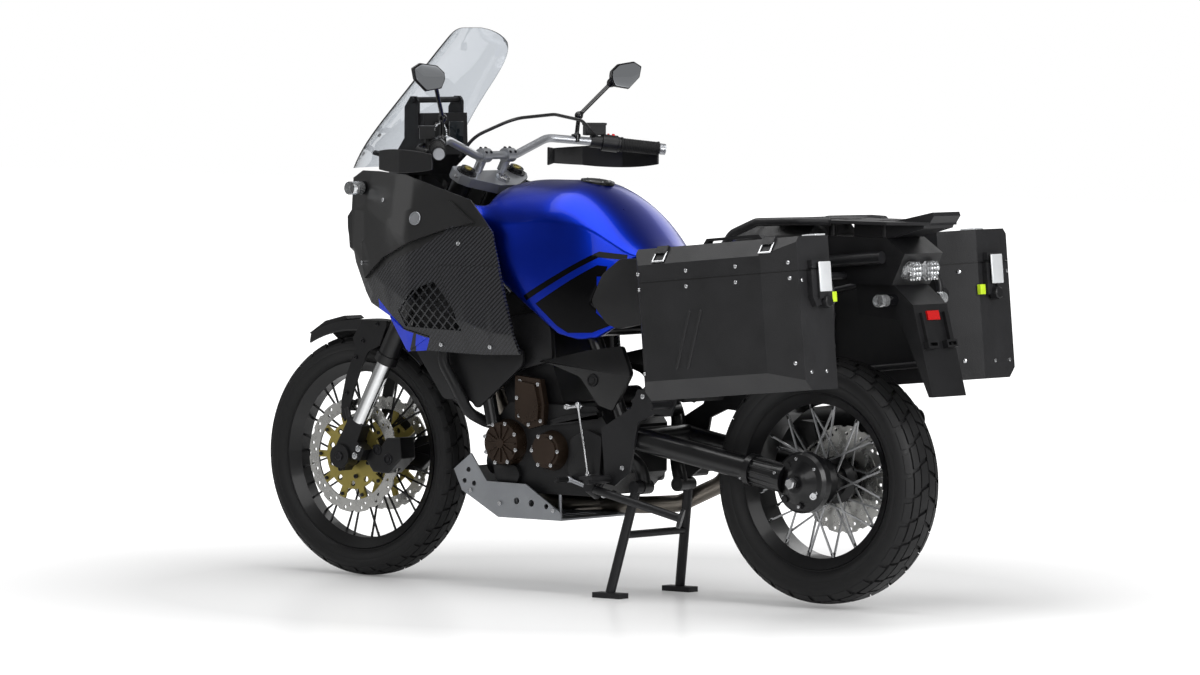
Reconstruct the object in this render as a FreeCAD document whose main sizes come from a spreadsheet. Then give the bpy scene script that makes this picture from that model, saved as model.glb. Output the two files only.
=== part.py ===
# Adventure motorcycle with aluminium side cases, as a parametric assembly of separate sub-parts.
# Frame: X forward, Y to the rider's left, Z up, origin on the floor under the middle of the outline.
# Lengths are millimetres and angles are degrees.
import FreeCAD, Part
import Sketcher
import math
import os
import re

from FreeCAD import Placement, Rotation, Vector

os.makedirs("parts", exist_ok=True)
doc = FreeCAD.newDocument("motorcycle")
sheet = doc.addObject("Spreadsheet::Sheet", "Sizes")

SIZES = {
    # Running gear
    "front_axle_x": 796,
    "front_tyre_radius": 329.3,
    "front_tyre_width": 112,
    "front_flange_radius": 254,
    "front_rim_width": 70,
    "rear_tyre_radius": 320.9,
    "rear_tyre_width": 150,
    "rear_flange_radius": 229,
    "rear_rim_width": 104,
    "rear_wheel_lift": 10,
    "rim_depth": 28,
    "axle_radius": 12,
    "axle_play": 0.05,
    "front_hub_radius": 44,
    "front_hub_width": 129,
    "front_flange_y": 30,
    "rear_hub_radius": 62,
    "rear_hub_width": 131,
    "rear_flange_y": 38,
    "spoke_count": 32,
    "spoke_size": 4.5,
    "disc_thickness": 5,
    "disc_band": 34,
    "disc_lobes": 16,
    "disc_scallop": 13,
    "disc_vent": 4.5,
    "front_disc_radius": 155,
    "rear_disc_radius": 141,
    "carrier_ring_radius": 92,
    "carrier_arms": 10,
    "caliper_room": 6,
    # Steering
    "rake_angle": 28,
    "steering_trail": 126,
    "fork_spacing": 210,
    "fork_inner_radius": 21.5,
    "fork_outer_radius": 28,
    "fork_foot_top": 108,
    "fork_outer_bottom": 293,
    "fork_top": 885,
    "yoke_thickness": 26,
    "lower_yoke_height": 600,
    "yoke_half_depth": 34,
    "fender_radius": 368,
    "fender_half_width": 66,
    "fender_wall": 4,
    "fender_front_angle": 62,
    "fender_rear_angle": 132,
    "bar_radius": 11,
    "riser_height": 47.3,
    "riser_reach": 6.6,
    "riser_spread": 52,
    "bar_rise": 44,
    "bar_half_width": 480,
    "grip_radius": 17,
    "grip_length": 122,
    "pod_radius": 23,
    "perch_radius": 17,
    "lever_radius": 5.5,
    "lever_reach": 52,
    "hose_radius": 4.5,
    "guard_height": 62,
    "guard_wall": 6,
    "mirror_radius": 62,
    "mirror_thickness": 16,
    "mirror_height": 1365,
    "mirror_spread": 420,
    "mirror_x": 262,
    "stem_radius": 6,
    # Frame and rear arm
    "frame_tube_radius": 19,
    "subframe_tube_radius": 12,
    "head_tube_radius": 30,
    "head_tube_bottom": 640,
    "head_tube_top": 852,
    "frame_half_width": 120,
    "backbone_x": 180,
    "backbone_z": 822,
    "backbone_rear_x": -60,
    "backbone_rear_z": 700,
    "tank_mount_rise": 40,
    "pivot_x": -195,
    "pivot_z": 425,
    "arm_tube_radius": 31,
    "arm_length": 557,
    "arm_tube_y": 122,
    "drive_housing_radius": 80,
    "drive_housing_depth": 66,
    "boot_radius": 39,
    "boot_length": 118,
    "boot_ribs": 14,
    # Engine
    "engine_width": 260,
    "cylinder_width": 250,
    "engine_front_x": 268,
    "engine_rear_x": -120,
    "engine_bottom_z": 262,
    "engine_top_z": 500,
    "head_top_x": 268,
    "head_top_z": 770,
    "cover_depth": 32,
    "generator_radius": 64,
    "shift_cover_radius": 54,
    "clutch_radius": 86,
    # Skid plate
    "skid_width": 320,
    "skid_wall": 5,
    "skid_bottom_z": 195,
    "skid_front_x": 374,
    # Tank and seats
    "tank_front_x": 345,
    "tank_rear_x": -215,
    "tank_top_z": 1092,
    "tank_bottom_z": 690,
    "tank_half_width": 202,
    "seat_top_z": 866,
    "seat_half_width": 165,
    "seat_length": 285,
    "pillion_top_z": 990,
    "pillion_half_width": 140,
    "pillion_length": 300,
    # Front bodywork
    "fairing_half_width": 252,
    "fairing_wall": 5,
    "wing_rise": 11,
    "panel_rise": 4,
    "grille_cell": 30,
    "grille_bar": 4,
    "fairing_bottom_z": 632,
    "cowl_front_x": 792,
    "cowl_half_width": 150,
    "cowl_stay_z": 1000,
    "headlamp_spacing": 150,
    "headlamp_z": 935,
    "screen_bottom_z": 1112,
    "screen_top_z": 1493,
    "screen_half_width": 190,
    "screen_wall": 4,
    "dash_half_width": 92,
    "dash_bottom_z": 1094,
    "dash_arm_length": 150,
    # Cases
    "case_outer_y": 490,
    "case_inner_y": 262,
    "case_length": 512,
    "case_body_height": 306,
    "case_lid_height": 84,
    "case_wall": 4,
    "case_front_x": -500,
    "case_bottom_z": 545,
    "case_pitch": 5.5,
    "case_keel": 50,
    "lid_bevel_drop": 42,
    "lid_bevel_width": 36,
    "lid_gap": 0.3,
    # Rear
    "rack_top_z": 1012,
    "rack_thickness": 8,
    "rack_front_x": -640,
    "rack_rear_x": -1100,
    "rack_half_width": 135,
    "rack_hole_x": -870,
    "rack_hole_length": 200,
    "rack_hole_width": 170,
    "rack_hole_radius": 3.3,
    "tail_rear_x": -1040,
    "plate_rear_x": -1125.3,
    "plate_bottom_z": 565,
    # Exhaust and stands
    "pipe_radius": 21,
    "muffler_radius": 58,
    "pipe_height": 228,
    "muffler_start_x": -360,
    "muffler_y": -226,
    "muffler_z": 424,
    "muffler_length": 500,
    "muffler_pitch": 7.2,
    "stand_pivot_x": -205,
    "stand_pivot_z": 292,
    "stand_foot_x": -150,
    "stand_foot_y": 152,
    "stand_tube_radius": 13,
    "stand_boss_y": 80,
    "stand_pin_radius": 8,
    "prop_pivot_x": -120,
    "prop_pivot_y": 192,
    "prop_pivot_z": 285,
    "prop_length": 300,
}

for row, (name, number) in enumerate(SIZES.items(), start=1):
    sheet.set("A%d" % row, name)
    sheet.set("B%d" % row, str(number))
    sheet.setAlias("B%d" % row, name)
doc.recompute()

# Places worked out from the driving sizes, written once and used by every piece that meets there
DERIVED = {
    "front_axle_z": "front_tyre_radius",
    "rear_axle_z": "rear_tyre_radius + rear_wheel_lift",
    "rear_axle_x": "pivot_x - sqrt(arm_length ^ 2 - (pivot_z - rear_tyre_radius - rear_wheel_lift) ^ 2)",
    "bar_centre_x": "front_axle_x - (fork_top - 4 + riser_height) * sin(rake_angle)"
                    " + riser_reach * cos(rake_angle)",
    "bar_height": "front_tyre_radius + (fork_top - 4 + riser_height) * cos(rake_angle)"
                  " + riser_reach * sin(rake_angle)",
    "front_disc_y": "(front_hub_width + disc_thickness + 2) / 2",
    "rear_disc_y": "-(rear_hub_width + disc_thickness + 2) / 2",
    "fork_offset": "front_tyre_radius * sin(rake_angle) - steering_trail * cos(rake_angle)",
    "seat_front_x": "tank_rear_x + 46",
    "seat_rear_x": "tank_rear_x + 46 - seat_length",
    "pillion_front_x": "tank_rear_x + 40 - seat_length",
    "pillion_rear_x": "tank_rear_x + 40 - seat_length - pillion_length",
}
first_row = len(SIZES) + 1


def bound(text):
    """Turn plain size names in an expression into references to the sheet."""
    names = set(SIZES) | set(DERIVED)
    return re.sub(r"[a-z_][a-z_0-9]*", lambda w: "Sizes." + w[0] if w[0] in names else w[0], str(text))


for row, (name, rule) in enumerate(DERIVED.items(), start=first_row):
    sheet.set("A%d" % row, name)
    sheet.set("B%d" % row, "=" + rule)
    sheet.setAlias("B%d" % row, name)
doc.recompute()

NODES = []


def value(text):
    """Give the number that an expression in size names stands for."""
    return float(sheet.evalExpression(bound(text)))


def node(piece, label):
    """Name a finished sub-part and list it for export."""
    piece.Label = label
    NODES.append(piece)
    return piece


def finished(label):
    """The sub-part that was finished under a label."""
    return next(item for item in NODES if item.Label == label)


def origin_plane(body, role):
    """Find one of a body's own origin planes."""
    return next(feature for feature in body.Origin.OriginFeatures if feature.Role == role)


def new_body(name, base=("0", "0", "0"), turn=None):
    """Start a body at a bound place; turn is an axis and an angle."""
    body = doc.addObject("PartDesign::Body", name)
    if turn:
        body.Placement = Placement(Vector(), Rotation(Vector(*turn[0]), value(turn[1])))
        body.setExpression("Placement.Rotation.Angle", bound(turn[1]))
    for letter, rule in zip("xyz", base):
        body.setExpression("Placement.Base." + letter, bound(rule))
    return body


def outline(body, name, role, corners, offset="0"):
    """Draw a closed outline whose every corner is bound to the sheet."""
    sketch = body.newObject("Sketcher::SketchObject", name)
    sketch.AttachmentSupport = [(origin_plane(body, role), "")]
    sketch.MapMode = "FlatFace"
    sketch.setExpression("AttachmentOffset.Base.z", bound(offset))
    places = [(value(u), value(v)) for u, v in corners]
    count = len(places)
    for index in range(count):
        start = Vector(*places[index], 0)
        end = Vector(*places[(index + 1) % count], 0)
        sketch.addGeometry(Part.LineSegment(start, end), False)
    for index in range(count):
        sketch.addConstraint(Sketcher.Constraint("Coincident", index, 2, (index + 1) % count, 1))
    for index, rules in enumerate(corners):
        for kind, rule, number in zip(("DistanceX", "DistanceY"), rules, places[index]):
            tie = sketch.addConstraint(Sketcher.Constraint(kind, -1, 1, index, 1, number))
            sketch.setExpression("Constraints[%d]" % tie, bound(rule))
    return sketch


def pad(body, name, sketch, length, both_sides=True):
    """Pad an outline, to both sides of its plane unless told otherwise."""
    feature = body.newObject("PartDesign::Pad", name)
    feature.Profile = sketch
    feature.SideType = "Symmetric" if both_sides else "One side"
    feature.setExpression("Length", bound(length))
    sketch.Visibility = False
    return feature


def pocket(body, name, sketch, length):
    """Cut an outline out of the body, the same way to both sides of its plane."""
    feature = body.newObject("PartDesign::Pocket", name)
    feature.Profile = sketch
    feature.SideType = "Symmetric"
    feature.setExpression("Length", bound(length))
    return feature


def revolve(body, name, sketch, axis="V_Axis", angle="360"):
    """Turn an outline about one of its sketch's axes."""
    feature = body.newObject("PartDesign::Revolution", name)
    feature.Profile = sketch
    feature.ReferenceAxis = (sketch, [axis])
    feature.setExpression("Angle", bound(angle))
    return feature


def loft(body, name, sketches, ruled=False):
    """Run a skin through outlines on parallel planes."""
    feature = body.newObject("PartDesign::AdditiveLoft", name)
    feature.Profile = sketches[0]
    feature.Sections = sketches[1:]
    feature.Ruled = ruled
    return feature


def mirror(source, name):
    """Mirror a piece across the middle plane."""
    image = doc.addObject("Part::Mirroring", name)
    image.Source = source
    image.Normal = Vector(0, 1, 0)
    return image


def pair(source, label):
    """A left piece and its mirror image, as two solids of one node."""
    both = doc.addObject("Part::Compound", label)
    both.Links = [source, mirror(source, label + "_image")]
    return node(both, label)


def fuse(label, pieces):
    """Join touching pieces into one solid node."""
    joined = doc.addObject("Part::MultiFuse", label)
    joined.Shapes = pieces
    joined.Refine = False
    return node(joined, label)


def cylinder(name, radius, height, base, direction="Z", start="0"):
    """A bound cylinder along one axis of the part, starting at base and moved along its axis by start."""
    turns = {"X": Rotation(Vector(0, 1, 0), 90), "Y": Rotation(Vector(1, 0, 0), -90), "Z": Rotation()}
    piece = doc.addObject("Part::Cylinder", name)
    piece.Placement = Placement(Vector(), turns[direction])
    piece.setExpression("Radius", bound(radius))
    piece.setExpression("Height", bound(height))
    for letter, rule in zip("xyz", base):
        rule = "(%s) + (%s)" % (rule, start) if letter.upper() == direction else rule
        piece.setExpression("Placement.Base." + letter, bound(rule))
    return piece


def feature(name, shape):
    """Keep a shape that Part's own functions make from the sheet's values."""
    piece = doc.addObject("Part::Feature", name)
    piece.Shape = shape
    return piece


def places(*rows):
    """Points from rows of three expressions."""
    return [Vector(*(value(rule) for rule in row)) for row in rows]


def tube(points, radius, bend=40):
    """A round tube along straight runs joined by tangent arcs of one bend radius."""
    edges = []
    start = points[0]
    for before, corner, after in zip(points, points[1:], points[2:]):
        arrive = (corner - before).normalize()
        leave = (after - corner).normalize()
        turn = arrive.getAngle(leave)
        reach = bend * math.tan(turn / 2)
        reach = min(reach, 0.45 * (corner - before).Length, 0.45 * (after - corner).Length)
        if turn < 0.01:
            continue
        begin = corner - arrive * reach
        finish = corner + leave * reach
        middle_way = (leave - arrive).normalize()
        arc_radius = reach / math.tan(turn / 2)
        middle = corner + middle_way * (arc_radius / math.cos(turn / 2) - arc_radius)
        edges.append(Part.LineSegment(start, begin).toShape())
        edges.append(Part.Arc(begin, middle, finish).toShape())
        start = finish
    edges.append(Part.LineSegment(start, points[-1]).toShape())
    path = Part.Wire(edges)
    ring = Part.Wire([Part.Circle(points[0], points[1] - points[0], radius).toShape()])
    return path.makePipeShell([ring], True, False)


def mirrored_points(points):
    """The same route on the other side of the middle plane."""
    return [Vector(point.x, -point.y, point.z) for point in points]


def fused(shapes):
    """One solid from touching shapes."""
    return shapes[0].fuse(shapes[1:]).removeSplitter()


# Wheels: a rim with its well, spokes laced to a hub, a tyre seated on the rim
def lacing(side):
    """Spokes as slim square bars, crossed in pairs from the hub flanges to the rim."""
    count = int(value("spoke_count"))
    size = value("spoke_size")
    hub_r = value(side + "_hub_radius") - 5
    hub_y = value(side + "_flange_y")
    rim_r = value(side + "_flange_radius") - value("rim_depth") + 3
    rim_y = value(side + "_rim_width") / 2 - 24
    bars = []
    for index in range(count):
        flank = 1 if index % 2 else -1
        lean = math.radians(34 if index % 4 < 2 else -34)
        angle = 2 * math.pi * index / count
        foot = Vector(hub_r * math.cos(angle - lean), flank * hub_y, hub_r * math.sin(angle - lean))
        tip = Vector(rim_r * math.cos(angle), flank * rim_y, rim_r * math.sin(angle))
        along = tip - foot
        across = along.cross(Vector(0, 1, 0)).normalize() * (size / 2)
        deep = along.cross(across).normalize() * (size / 2)
        ring = [foot + across + deep, foot - across + deep, foot - across - deep, foot + across - deep]
        bars.append(Part.Face(Part.makePolygon(ring + ring[:1])).extrude(along))
    return bars


def wheel(side):
    """Rim, spokes and hub as one solid, and the tyre."""
    rim_w = side + "_rim_width / 2"
    flange = side + "_flange_radius"
    base = (side + "_axle_x", "0", side + "_axle_z")
    rim = new_body(side + "_rim_ring", base)
    section = outline(rim, side + "_rim_section", "XY_Plane", [
        (flange, rim_w + " + 3.5"), (flange, rim_w + " - 1.4"), (flange + " - 15", rim_w + " - 9"),
        (flange + " - 15", "9 - " + rim_w), (flange, "1.4 - " + rim_w), (flange, "-3.5 - " + rim_w),
        (flange + " - rim_depth", "16 - " + rim_w), (flange + " - rim_depth", rim_w + " - 16"),
    ])
    revolve(rim, side + "_rim_turned", section)
    hub = new_body(side + "_hub", base)
    hub_w = side + "_hub_width / 2"
    hub_r = side + "_hub_radius"
    flange_y = side + "_flange_y"
    section = outline(hub, side + "_hub_section", "XY_Plane", [
        ("axle_radius + axle_play", "-" + hub_w), (hub_r + " - 12", "-" + hub_w),
        (hub_r, "-" + flange_y + " - 5"), (hub_r, "5 - " + flange_y), (hub_r + " - 18", "14 - " + flange_y),
        (hub_r + " - 18", flange_y + " - 14"), (hub_r, flange_y + " - 5"), (hub_r, flange_y + " + 5"),
        (hub_r + " - 12", hub_w), ("axle_radius + axle_play", hub_w),
    ])
    revolve(hub, side + "_hub_turned", section)
    doc.recompute()
    spokes = Part.makeCompound(lacing(side))
    bars = feature(side + "_spokes", spokes)
    bars.Placement = Placement(Vector(*(value(rule) for rule in base)), Rotation())
    whole = rim.Shape.fuse([hub.Shape] + bars.Shape.Solids)
    node(feature(side + "_rim", whole), side + "_rim")

    tyre = new_body(side + "_tyre", base)
    tread = side + "_tyre_radius"
    half = side + "_tyre_width / 2"
    right = [
        (flange + " - 14", rim_w + " - 9"), (tread + " - 32", half), (tread, half + " * 0.4"),
    ]
    left = [(u, "-(" + v + ")") for u, v in reversed(right)]
    section = outline(tyre, side + "_tyre_section", "XY_Plane", right + left)
    revolve(tyre, side + "_tyre_turned", section)
    node(tyre, side + "_tyre")


def spot(y_place, side):
    """The place on a wheel's axle where a disc sits."""
    return places((side + "_axle_x", y_place, side + "_axle_z"))[0]


def spoke_way(index, count, half_step=0.0):
    """The outward direction of one of a ring of places about an axle."""
    turn = 2 * math.pi * (index + half_step) / count
    return Vector(math.cos(turn), 0, math.sin(turn))


SIDEWAYS = Vector(0, 1, 0)


def turned_disc(centre, outer, inner, thick):
    """A flat ring about an axle."""
    start = centre - SIDEWAYS * (thick / 2)
    hole = Part.makeCylinder(inner, thick, start, SIDEWAYS)
    return Part.makeCylinder(outer, thick, start, SIDEWAYS).cut(hole)


def brake_disc(radius, y_place, side):
    """A braking ring with a waved edge and a ring of vent holes in each lobe."""
    centre = spot(y_place, side)
    thick = value("disc_thickness")
    outer = value(radius)
    lobes = int(value("disc_lobes"))
    scallop = value("disc_scallop")
    band = turned_disc(centre, outer, outer - value("disc_band"), thick)
    start = centre - SIDEWAYS * thick
    cutters = []
    for index in range(lobes):
        notch_at = start + spoke_way(index, lobes) * (outer + scallop * 0.62)
        cutters.append(Part.makeCylinder(scallop, 2 * thick, notch_at, SIDEWAYS))
        for half_step, inset in ((0.5, 0.3), (0.2, 0.62)):
            vent_at = start + spoke_way(index, lobes, half_step) * (outer - value("disc_band") * inset)
            cutters.append(Part.makeCylinder(value("disc_vent"), 2 * thick, vent_at, SIDEWAYS))
    return band.cut(cutters)


def disc_carrier(radius, y_place, side):
    """The star that carries a braking ring: a drilled plate on the hub with an arm and button to each place."""
    centre = spot(y_place, side)
    thick = value("disc_thickness") + 2
    arms = int(value("carrier_arms"))
    reach = value(radius) - value("disc_band") - 0.6
    plate_r = value("carrier_ring_radius")
    pieces = [turned_disc(centre, plate_r, value(side + "_hub_radius") - 16, thick)]
    holes = []
    for index in range(arms):
        arm = Part.makeBox(reach - plate_r + 12, thick, 18, Vector(plate_r - 12, -thick / 2, -9))
        arm.rotate(Vector(), SIDEWAYS, 360 * index / arms)
        arm.translate(centre)
        way = Rotation(SIDEWAYS, 360 * index / arms).multVec(Vector(1, 0, 0))
        button = Part.makeCylinder(7, thick + 2, centre + way * (reach - 9) - SIDEWAYS * (thick / 2 + 1),
                                   SIDEWAYS)
        pieces += [arm, button]
        between = Rotation(SIDEWAYS, 360 * (index + 0.5) / arms).multVec(Vector(1, 0, 0))
        holes.append(Part.makeCylinder(8, 2 * thick, centre + between * (plate_r - 15) - SIDEWAYS * thick,
                                       SIDEWAYS))
    return fused(pieces).cut(holes)


for end in ("front", "rear"):
    wheel(end)
pair(feature("front_left_disc", brake_disc("front_disc_radius", "front_disc_y", "front")), "front_discs")
pair(feature("front_left_carrier", disc_carrier("front_disc_radius", "front_disc_y", "front")),
     "disc_carriers")
rear_centre = spot("rear_disc_y", "rear")
rear_plate = turned_disc(rear_centre, value("rear_disc_radius") - value("disc_band") + 2,
                         value("rear_hub_radius") - 16, value("disc_thickness") + 2)
rear_ring = brake_disc("rear_disc_radius", "rear_disc_y", "rear")
node(feature("rear_disc", fused([rear_ring, rear_plate])), "rear_disc")


# Steering: everything that turns about the raked axis. Fork pieces stand in the raked frame,
# whose origin is the front axle and whose Z runs up the fork.
RAKED = ("front_axle_x", "0", "front_axle_z")
RAKE_TURN = ((0, 1, 0), "-rake_angle")


def leg_round(name, radius, low, high):
    """A cylinder on the left fork leg between two heights up the fork."""
    piece = doc.addObject("Part::Cylinder", name)
    piece.setExpression("Radius", bound(radius))
    piece.setExpression("Height", bound("(%s) - (%s)" % (high, low)))
    piece.Placement = Placement(Vector(), Rotation(Vector(0, 1, 0), -value("rake_angle")))
    piece.setExpression("Placement.Rotation.Angle", bound("-rake_angle"))
    piece.setExpression("Placement.Base.x", bound("front_axle_x - (%s) * sin(rake_angle)" % low))
    piece.setExpression("Placement.Base.y", bound("fork_spacing / 2"))
    piece.setExpression("Placement.Base.z", bound("front_axle_z + (%s) * cos(rake_angle)" % low))
    return piece


pair(leg_round("stanchion", "fork_inner_radius", "fork_foot_top", "fork_outer_bottom"), "fork_stanchions")
outer_leg = doc.addObject("Part::MultiFuse", "outer_leg")
outer_leg.Shapes = [
    leg_round("outer_tube", "fork_outer_radius", "fork_outer_bottom", "fork_top"),
    leg_round("wiper", "fork_outer_radius + 3.5", "fork_outer_bottom + 2", "fork_outer_bottom + 26"),
    leg_round("fork_cap", "fork_inner_radius - 2", "fork_top - 2", "fork_top + 9"),
]
pair(outer_leg, "fork_outer_tubes")

foot = new_body("fork_foot", RAKED, RAKE_TURN)
foot_side = outline(foot, "fork_foot_side", "XZ_Plane", [
    ("-26", "-30"), ("26", "-30"), ("30", "20"), ("26", "fork_foot_top"), ("-26", "fork_foot_top"),
    ("-30", "62"), ("-62", "56"), ("-62", "22"), ("-30", "10"),
], "-fork_spacing / 2")
pad(foot, "fork_foot_pad", foot_side, "36")
foot_pair = doc.addObject("Part::Compound", "fork_feet_pair")
axle_boss = cylinder("axle_boss", "axle_radius + 20", "44",
                     ("front_axle_x", "fork_spacing / 2", "front_axle_z"),
                     "Y", "-18")
left_foot = doc.addObject("Part::MultiFuse", "left_foot")
left_foot.Shapes = [foot, axle_boss]
foot_pair.Links = [left_foot, mirror(left_foot, "fork_foot_image")]
axle = cylinder("front_axle", "axle_radius", "fork_spacing - 20",
                ("front_axle_x", "0", "front_axle_z"), "Y", "10 - fork_spacing / 2")
fuse("fork_feet", [foot_pair, axle])


def yoke(name, low, radius):
    """A yoke plate clamped round both fork legs and the steering stem."""
    body = new_body(name, RAKED, RAKE_TURN)
    plate = outline(body, name + "_plan", "XY_Plane", [
        ("yoke_half_depth", "fork_spacing / 2 - 20"), ("yoke_half_depth", "fork_spacing / 2 + 22"),
        ("16", "fork_spacing / 2 + 36"), ("-12", "fork_spacing / 2 + 36"),
        ("-yoke_half_depth", "fork_spacing / 2 + 16"), ("-yoke_half_depth - 38", "40"),
        ("-yoke_half_depth - 38", "-40"), ("-yoke_half_depth", "-fork_spacing / 2 - 16"),
        ("-12", "-fork_spacing / 2 - 36"), ("16", "-fork_spacing / 2 - 36"),
        ("yoke_half_depth", "-fork_spacing / 2 - 22"), ("yoke_half_depth", "20 - fork_spacing / 2"),
        ("8", "50 - fork_spacing / 2"), ("8", "fork_spacing / 2 - 50"),
    ], low)
    pad(body, name + "_pad", plate, "yoke_thickness", False)
    doc.recompute()
    holes = [leg_round(name + "_hole", radius, low + " - 5", low + " + yoke_thickness + 5")]
    holes.append(mirror(holes[0], name + "_hole_image"))
    both = doc.addObject("Part::Compound", name + "_holes")
    both.Links = holes
    cut = doc.addObject("Part::Cut", name)
    cut.Base = body
    cut.Tool = both
    return cut


top_yoke = yoke("top_yoke", "fork_top - yoke_thickness - 4", "fork_outer_radius")
low_yoke = yoke("low_yoke", "lower_yoke_height", "fork_outer_radius")
stem = doc.addObject("Part::Cylinder", "steering_stem")
stem.setExpression("Radius", bound("head_tube_radius - 8"))
stem.setExpression("Height", bound("fork_top - 8 - lower_yoke_height"))
stem.Placement = Placement(Vector(), Rotation(Vector(0, 1, 0), -value("rake_angle")))
stem.setExpression("Placement.Rotation.Angle", bound("-rake_angle"))
stem.setExpression("Placement.Base.x", bound(
    "front_axle_x - (lower_yoke_height + 4) * sin(rake_angle) - fork_offset * cos(rake_angle)"))
stem.setExpression("Placement.Base.z", bound(
    "front_axle_z + (lower_yoke_height + 4) * cos(rake_angle) - fork_offset * sin(rake_angle)"))
fuse("fork_yokes", [top_yoke, low_yoke, stem])

bar_route = places(
    ("bar_centre_x", "0", "bar_height"),
    ("bar_centre_x", "85", "bar_height"),
    ("bar_centre_x - 6", "215", "bar_height + bar_rise"),
    ("bar_centre_x - 78", "bar_half_width - 130", "bar_height + bar_rise - 12"),
    ("bar_centre_x - 190", "bar_half_width", "bar_height + bar_rise - 30"),
)
left_bar = tube(bar_route, value("bar_radius"), 60)
right_bar = tube(mirrored_points(bar_route), value("bar_radius"), 60)
grip_way = (bar_route[-1] - bar_route[-2]).normalize()
grip_start = bar_route[-1] - grip_way * value("grip_length")
bar_end = Part.makeCylinder(value("grip_radius") - 2, 16, bar_route[-1] - grip_way * 4, grip_way)
fork_up = Vector(-math.sin(math.radians(value("rake_angle"))), 0, math.cos(math.radians(value("rake_angle"))))
stem_top = Vector(value("front_axle_x"), 0, value("front_axle_z")) + fork_up * (value("fork_top") - 4)
bar_pieces = [left_bar, right_bar, bar_end, bar_end.mirror(Vector(), SIDEWAYS)]
clamp_r = value("bar_radius") + 8
for sign in (1, -1):
    bar_seat = Vector(value("bar_centre_x"), sign * value("riser_spread"), value("bar_height"))
    drop = (bar_seat - stem_top).dot(fork_up)
    bar_pieces.append(Part.makeCylinder(13, drop + 6, bar_seat - fork_up * drop, fork_up))
    bar_pieces.append(Part.makeCylinder(clamp_r, 34, bar_seat - SIDEWAYS * 17, SIDEWAYS))
handlebar = node(feature("handlebar", fused(bar_pieces)), "handlebar")

# Controls: grip, switch pod, lever on its perch and fluid reservoir, the same on both sides
level_way = Vector(grip_way.x, grip_way.y, 0).normalize()
ahead_way = Vector(level_way.y, -level_way.x, 0)
grip_r = value("grip_radius")
perch_at = grip_start - grip_way * 58
controls = [
    Part.makeCylinder(grip_r, value("grip_length") - 6, grip_start, grip_way),
    Part.makeCylinder(value("pod_radius"), 42, grip_start - grip_way * 42, grip_way),
    Part.makeCylinder(value("perch_radius"), 34, perch_at - grip_way * 17, grip_way),
    Part.makeCylinder(grip_r + 3, 5, grip_start + grip_way * 2, grip_way),
]
lever_route = [
    perch_at + ahead_way * 6, perch_at + ahead_way * (value("lever_reach") - 12),
    grip_start + ahead_way * value("lever_reach") + grip_way * 14,
    grip_start + ahead_way * (value("lever_reach") - 20) + grip_way * 84,
]
controls.append(tube(lever_route, value("lever_radius"), 16))
controls.append(Part.makeSphere(value("lever_radius") + 3, lever_route[-1]))
reservoir = Part.makeBox(56, 40, 30, Vector(-28, -20, 0))
reservoir = reservoir.fuse(Part.makeBox(60, 44, 6, Vector(-30, -22, 28)))
reservoir.rotate(Vector(), Vector(0, 0, 1), math.degrees(math.atan2(level_way.y, level_way.x)))
reservoir.translate(perch_at + ahead_way * 26 + Vector(0, 0, 17))
controls.append(reservoir)
controls.append(Part.makeCylinder(9, 26, perch_at + ahead_way * 22 + Vector(0, 0, -6), Vector(0, 0, 1)))
left_controls = fused(controls)
right_controls = left_controls.mirror(Vector(), SIDEWAYS)
# The brake hose arches over the bar from the right perch and down to the top yoke
hose_start = Vector(perch_at.x, -perch_at.y, perch_at.z) + Vector(0, 0, 12)
hose_route = [hose_start] + places(
    ("bar_centre_x - 88", "-262", "bar_height + 92"), ("bar_centre_x - 104", "-120", "bar_height + 110"),
    ("bar_centre_x - 92", "40", "bar_height + 100"), ("bar_centre_x - 10", "112", "bar_height + 50"),
    ("bar_centre_x + 34", "112", "bar_height - 6"),
)
right_controls = right_controls.fuse(tube(hose_route, value("hose_radius"), 90))
both_controls = doc.addObject("Part::Compound", "both_controls")
both_controls.Links = [
    feature("left_controls", left_controls.cut(handlebar.Shape)),
    feature("right_controls", right_controls.cut(handlebar.Shape)),
]
node(both_controls, "bar_controls")

guard = new_body("guard", ("0", "0", "bar_height - 8"))
guard_plan = outline(guard, "guard_plan", "XY_Plane", [
    ("bar_centre_x - 176", "bar_half_width + 12"), ("bar_centre_x - 60", "bar_half_width + 6"),
    ("bar_centre_x + 50", "bar_half_width - 46"), ("bar_centre_x + 82", "bar_half_width - 130"),
    ("bar_centre_x + 56", "bar_half_width - 186"), ("bar_centre_x + 56 - guard_wall", "bar_half_width - 186"),
    ("bar_centre_x + 82 - guard_wall", "bar_half_width - 130"),
    ("bar_centre_x + 46 - guard_wall", "bar_half_width - 50"),
    ("bar_centre_x - 62", "bar_half_width + 4 - guard_wall"),
    ("bar_centre_x - 176", "bar_half_width + 11 - guard_wall"),
])
pad(guard, "guard_pad", guard_plan, "guard_height")


def trimmed(name, base, tool):
    """A piece cut back to the surface of the one that it seats on."""
    cut = doc.addObject("Part::Cut", name)
    cut.Base = base
    cut.Tool = tool
    return cut


pair(trimmed("guard_trimmed", trimmed("guard_seated", guard, finished("handlebar")),
             finished("bar_controls")), "hand_guards")

mirror_head = new_body("mirror_head", ("mirror_x", "mirror_spread", "mirror_height"))


def mirror_outline(name, share, offset):
    """The mirror's outline, drawn to a share of its size."""
    shape_of = ((-1.05, -0.1), (-0.8, -0.5), (0.3, -0.62), (1.1, -0.1), (1.25, 0.4), (0.7, 0.62), (-0.5, 0.5),
                (-1.0, 0.2))
    corners = [("mirror_radius * %.3f" % (across * share), "mirror_radius * %.3f" % (up * share))
               for across, up in shape_of]
    return outline(mirror_head, name, "YZ_Plane", corners, offset)


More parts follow.
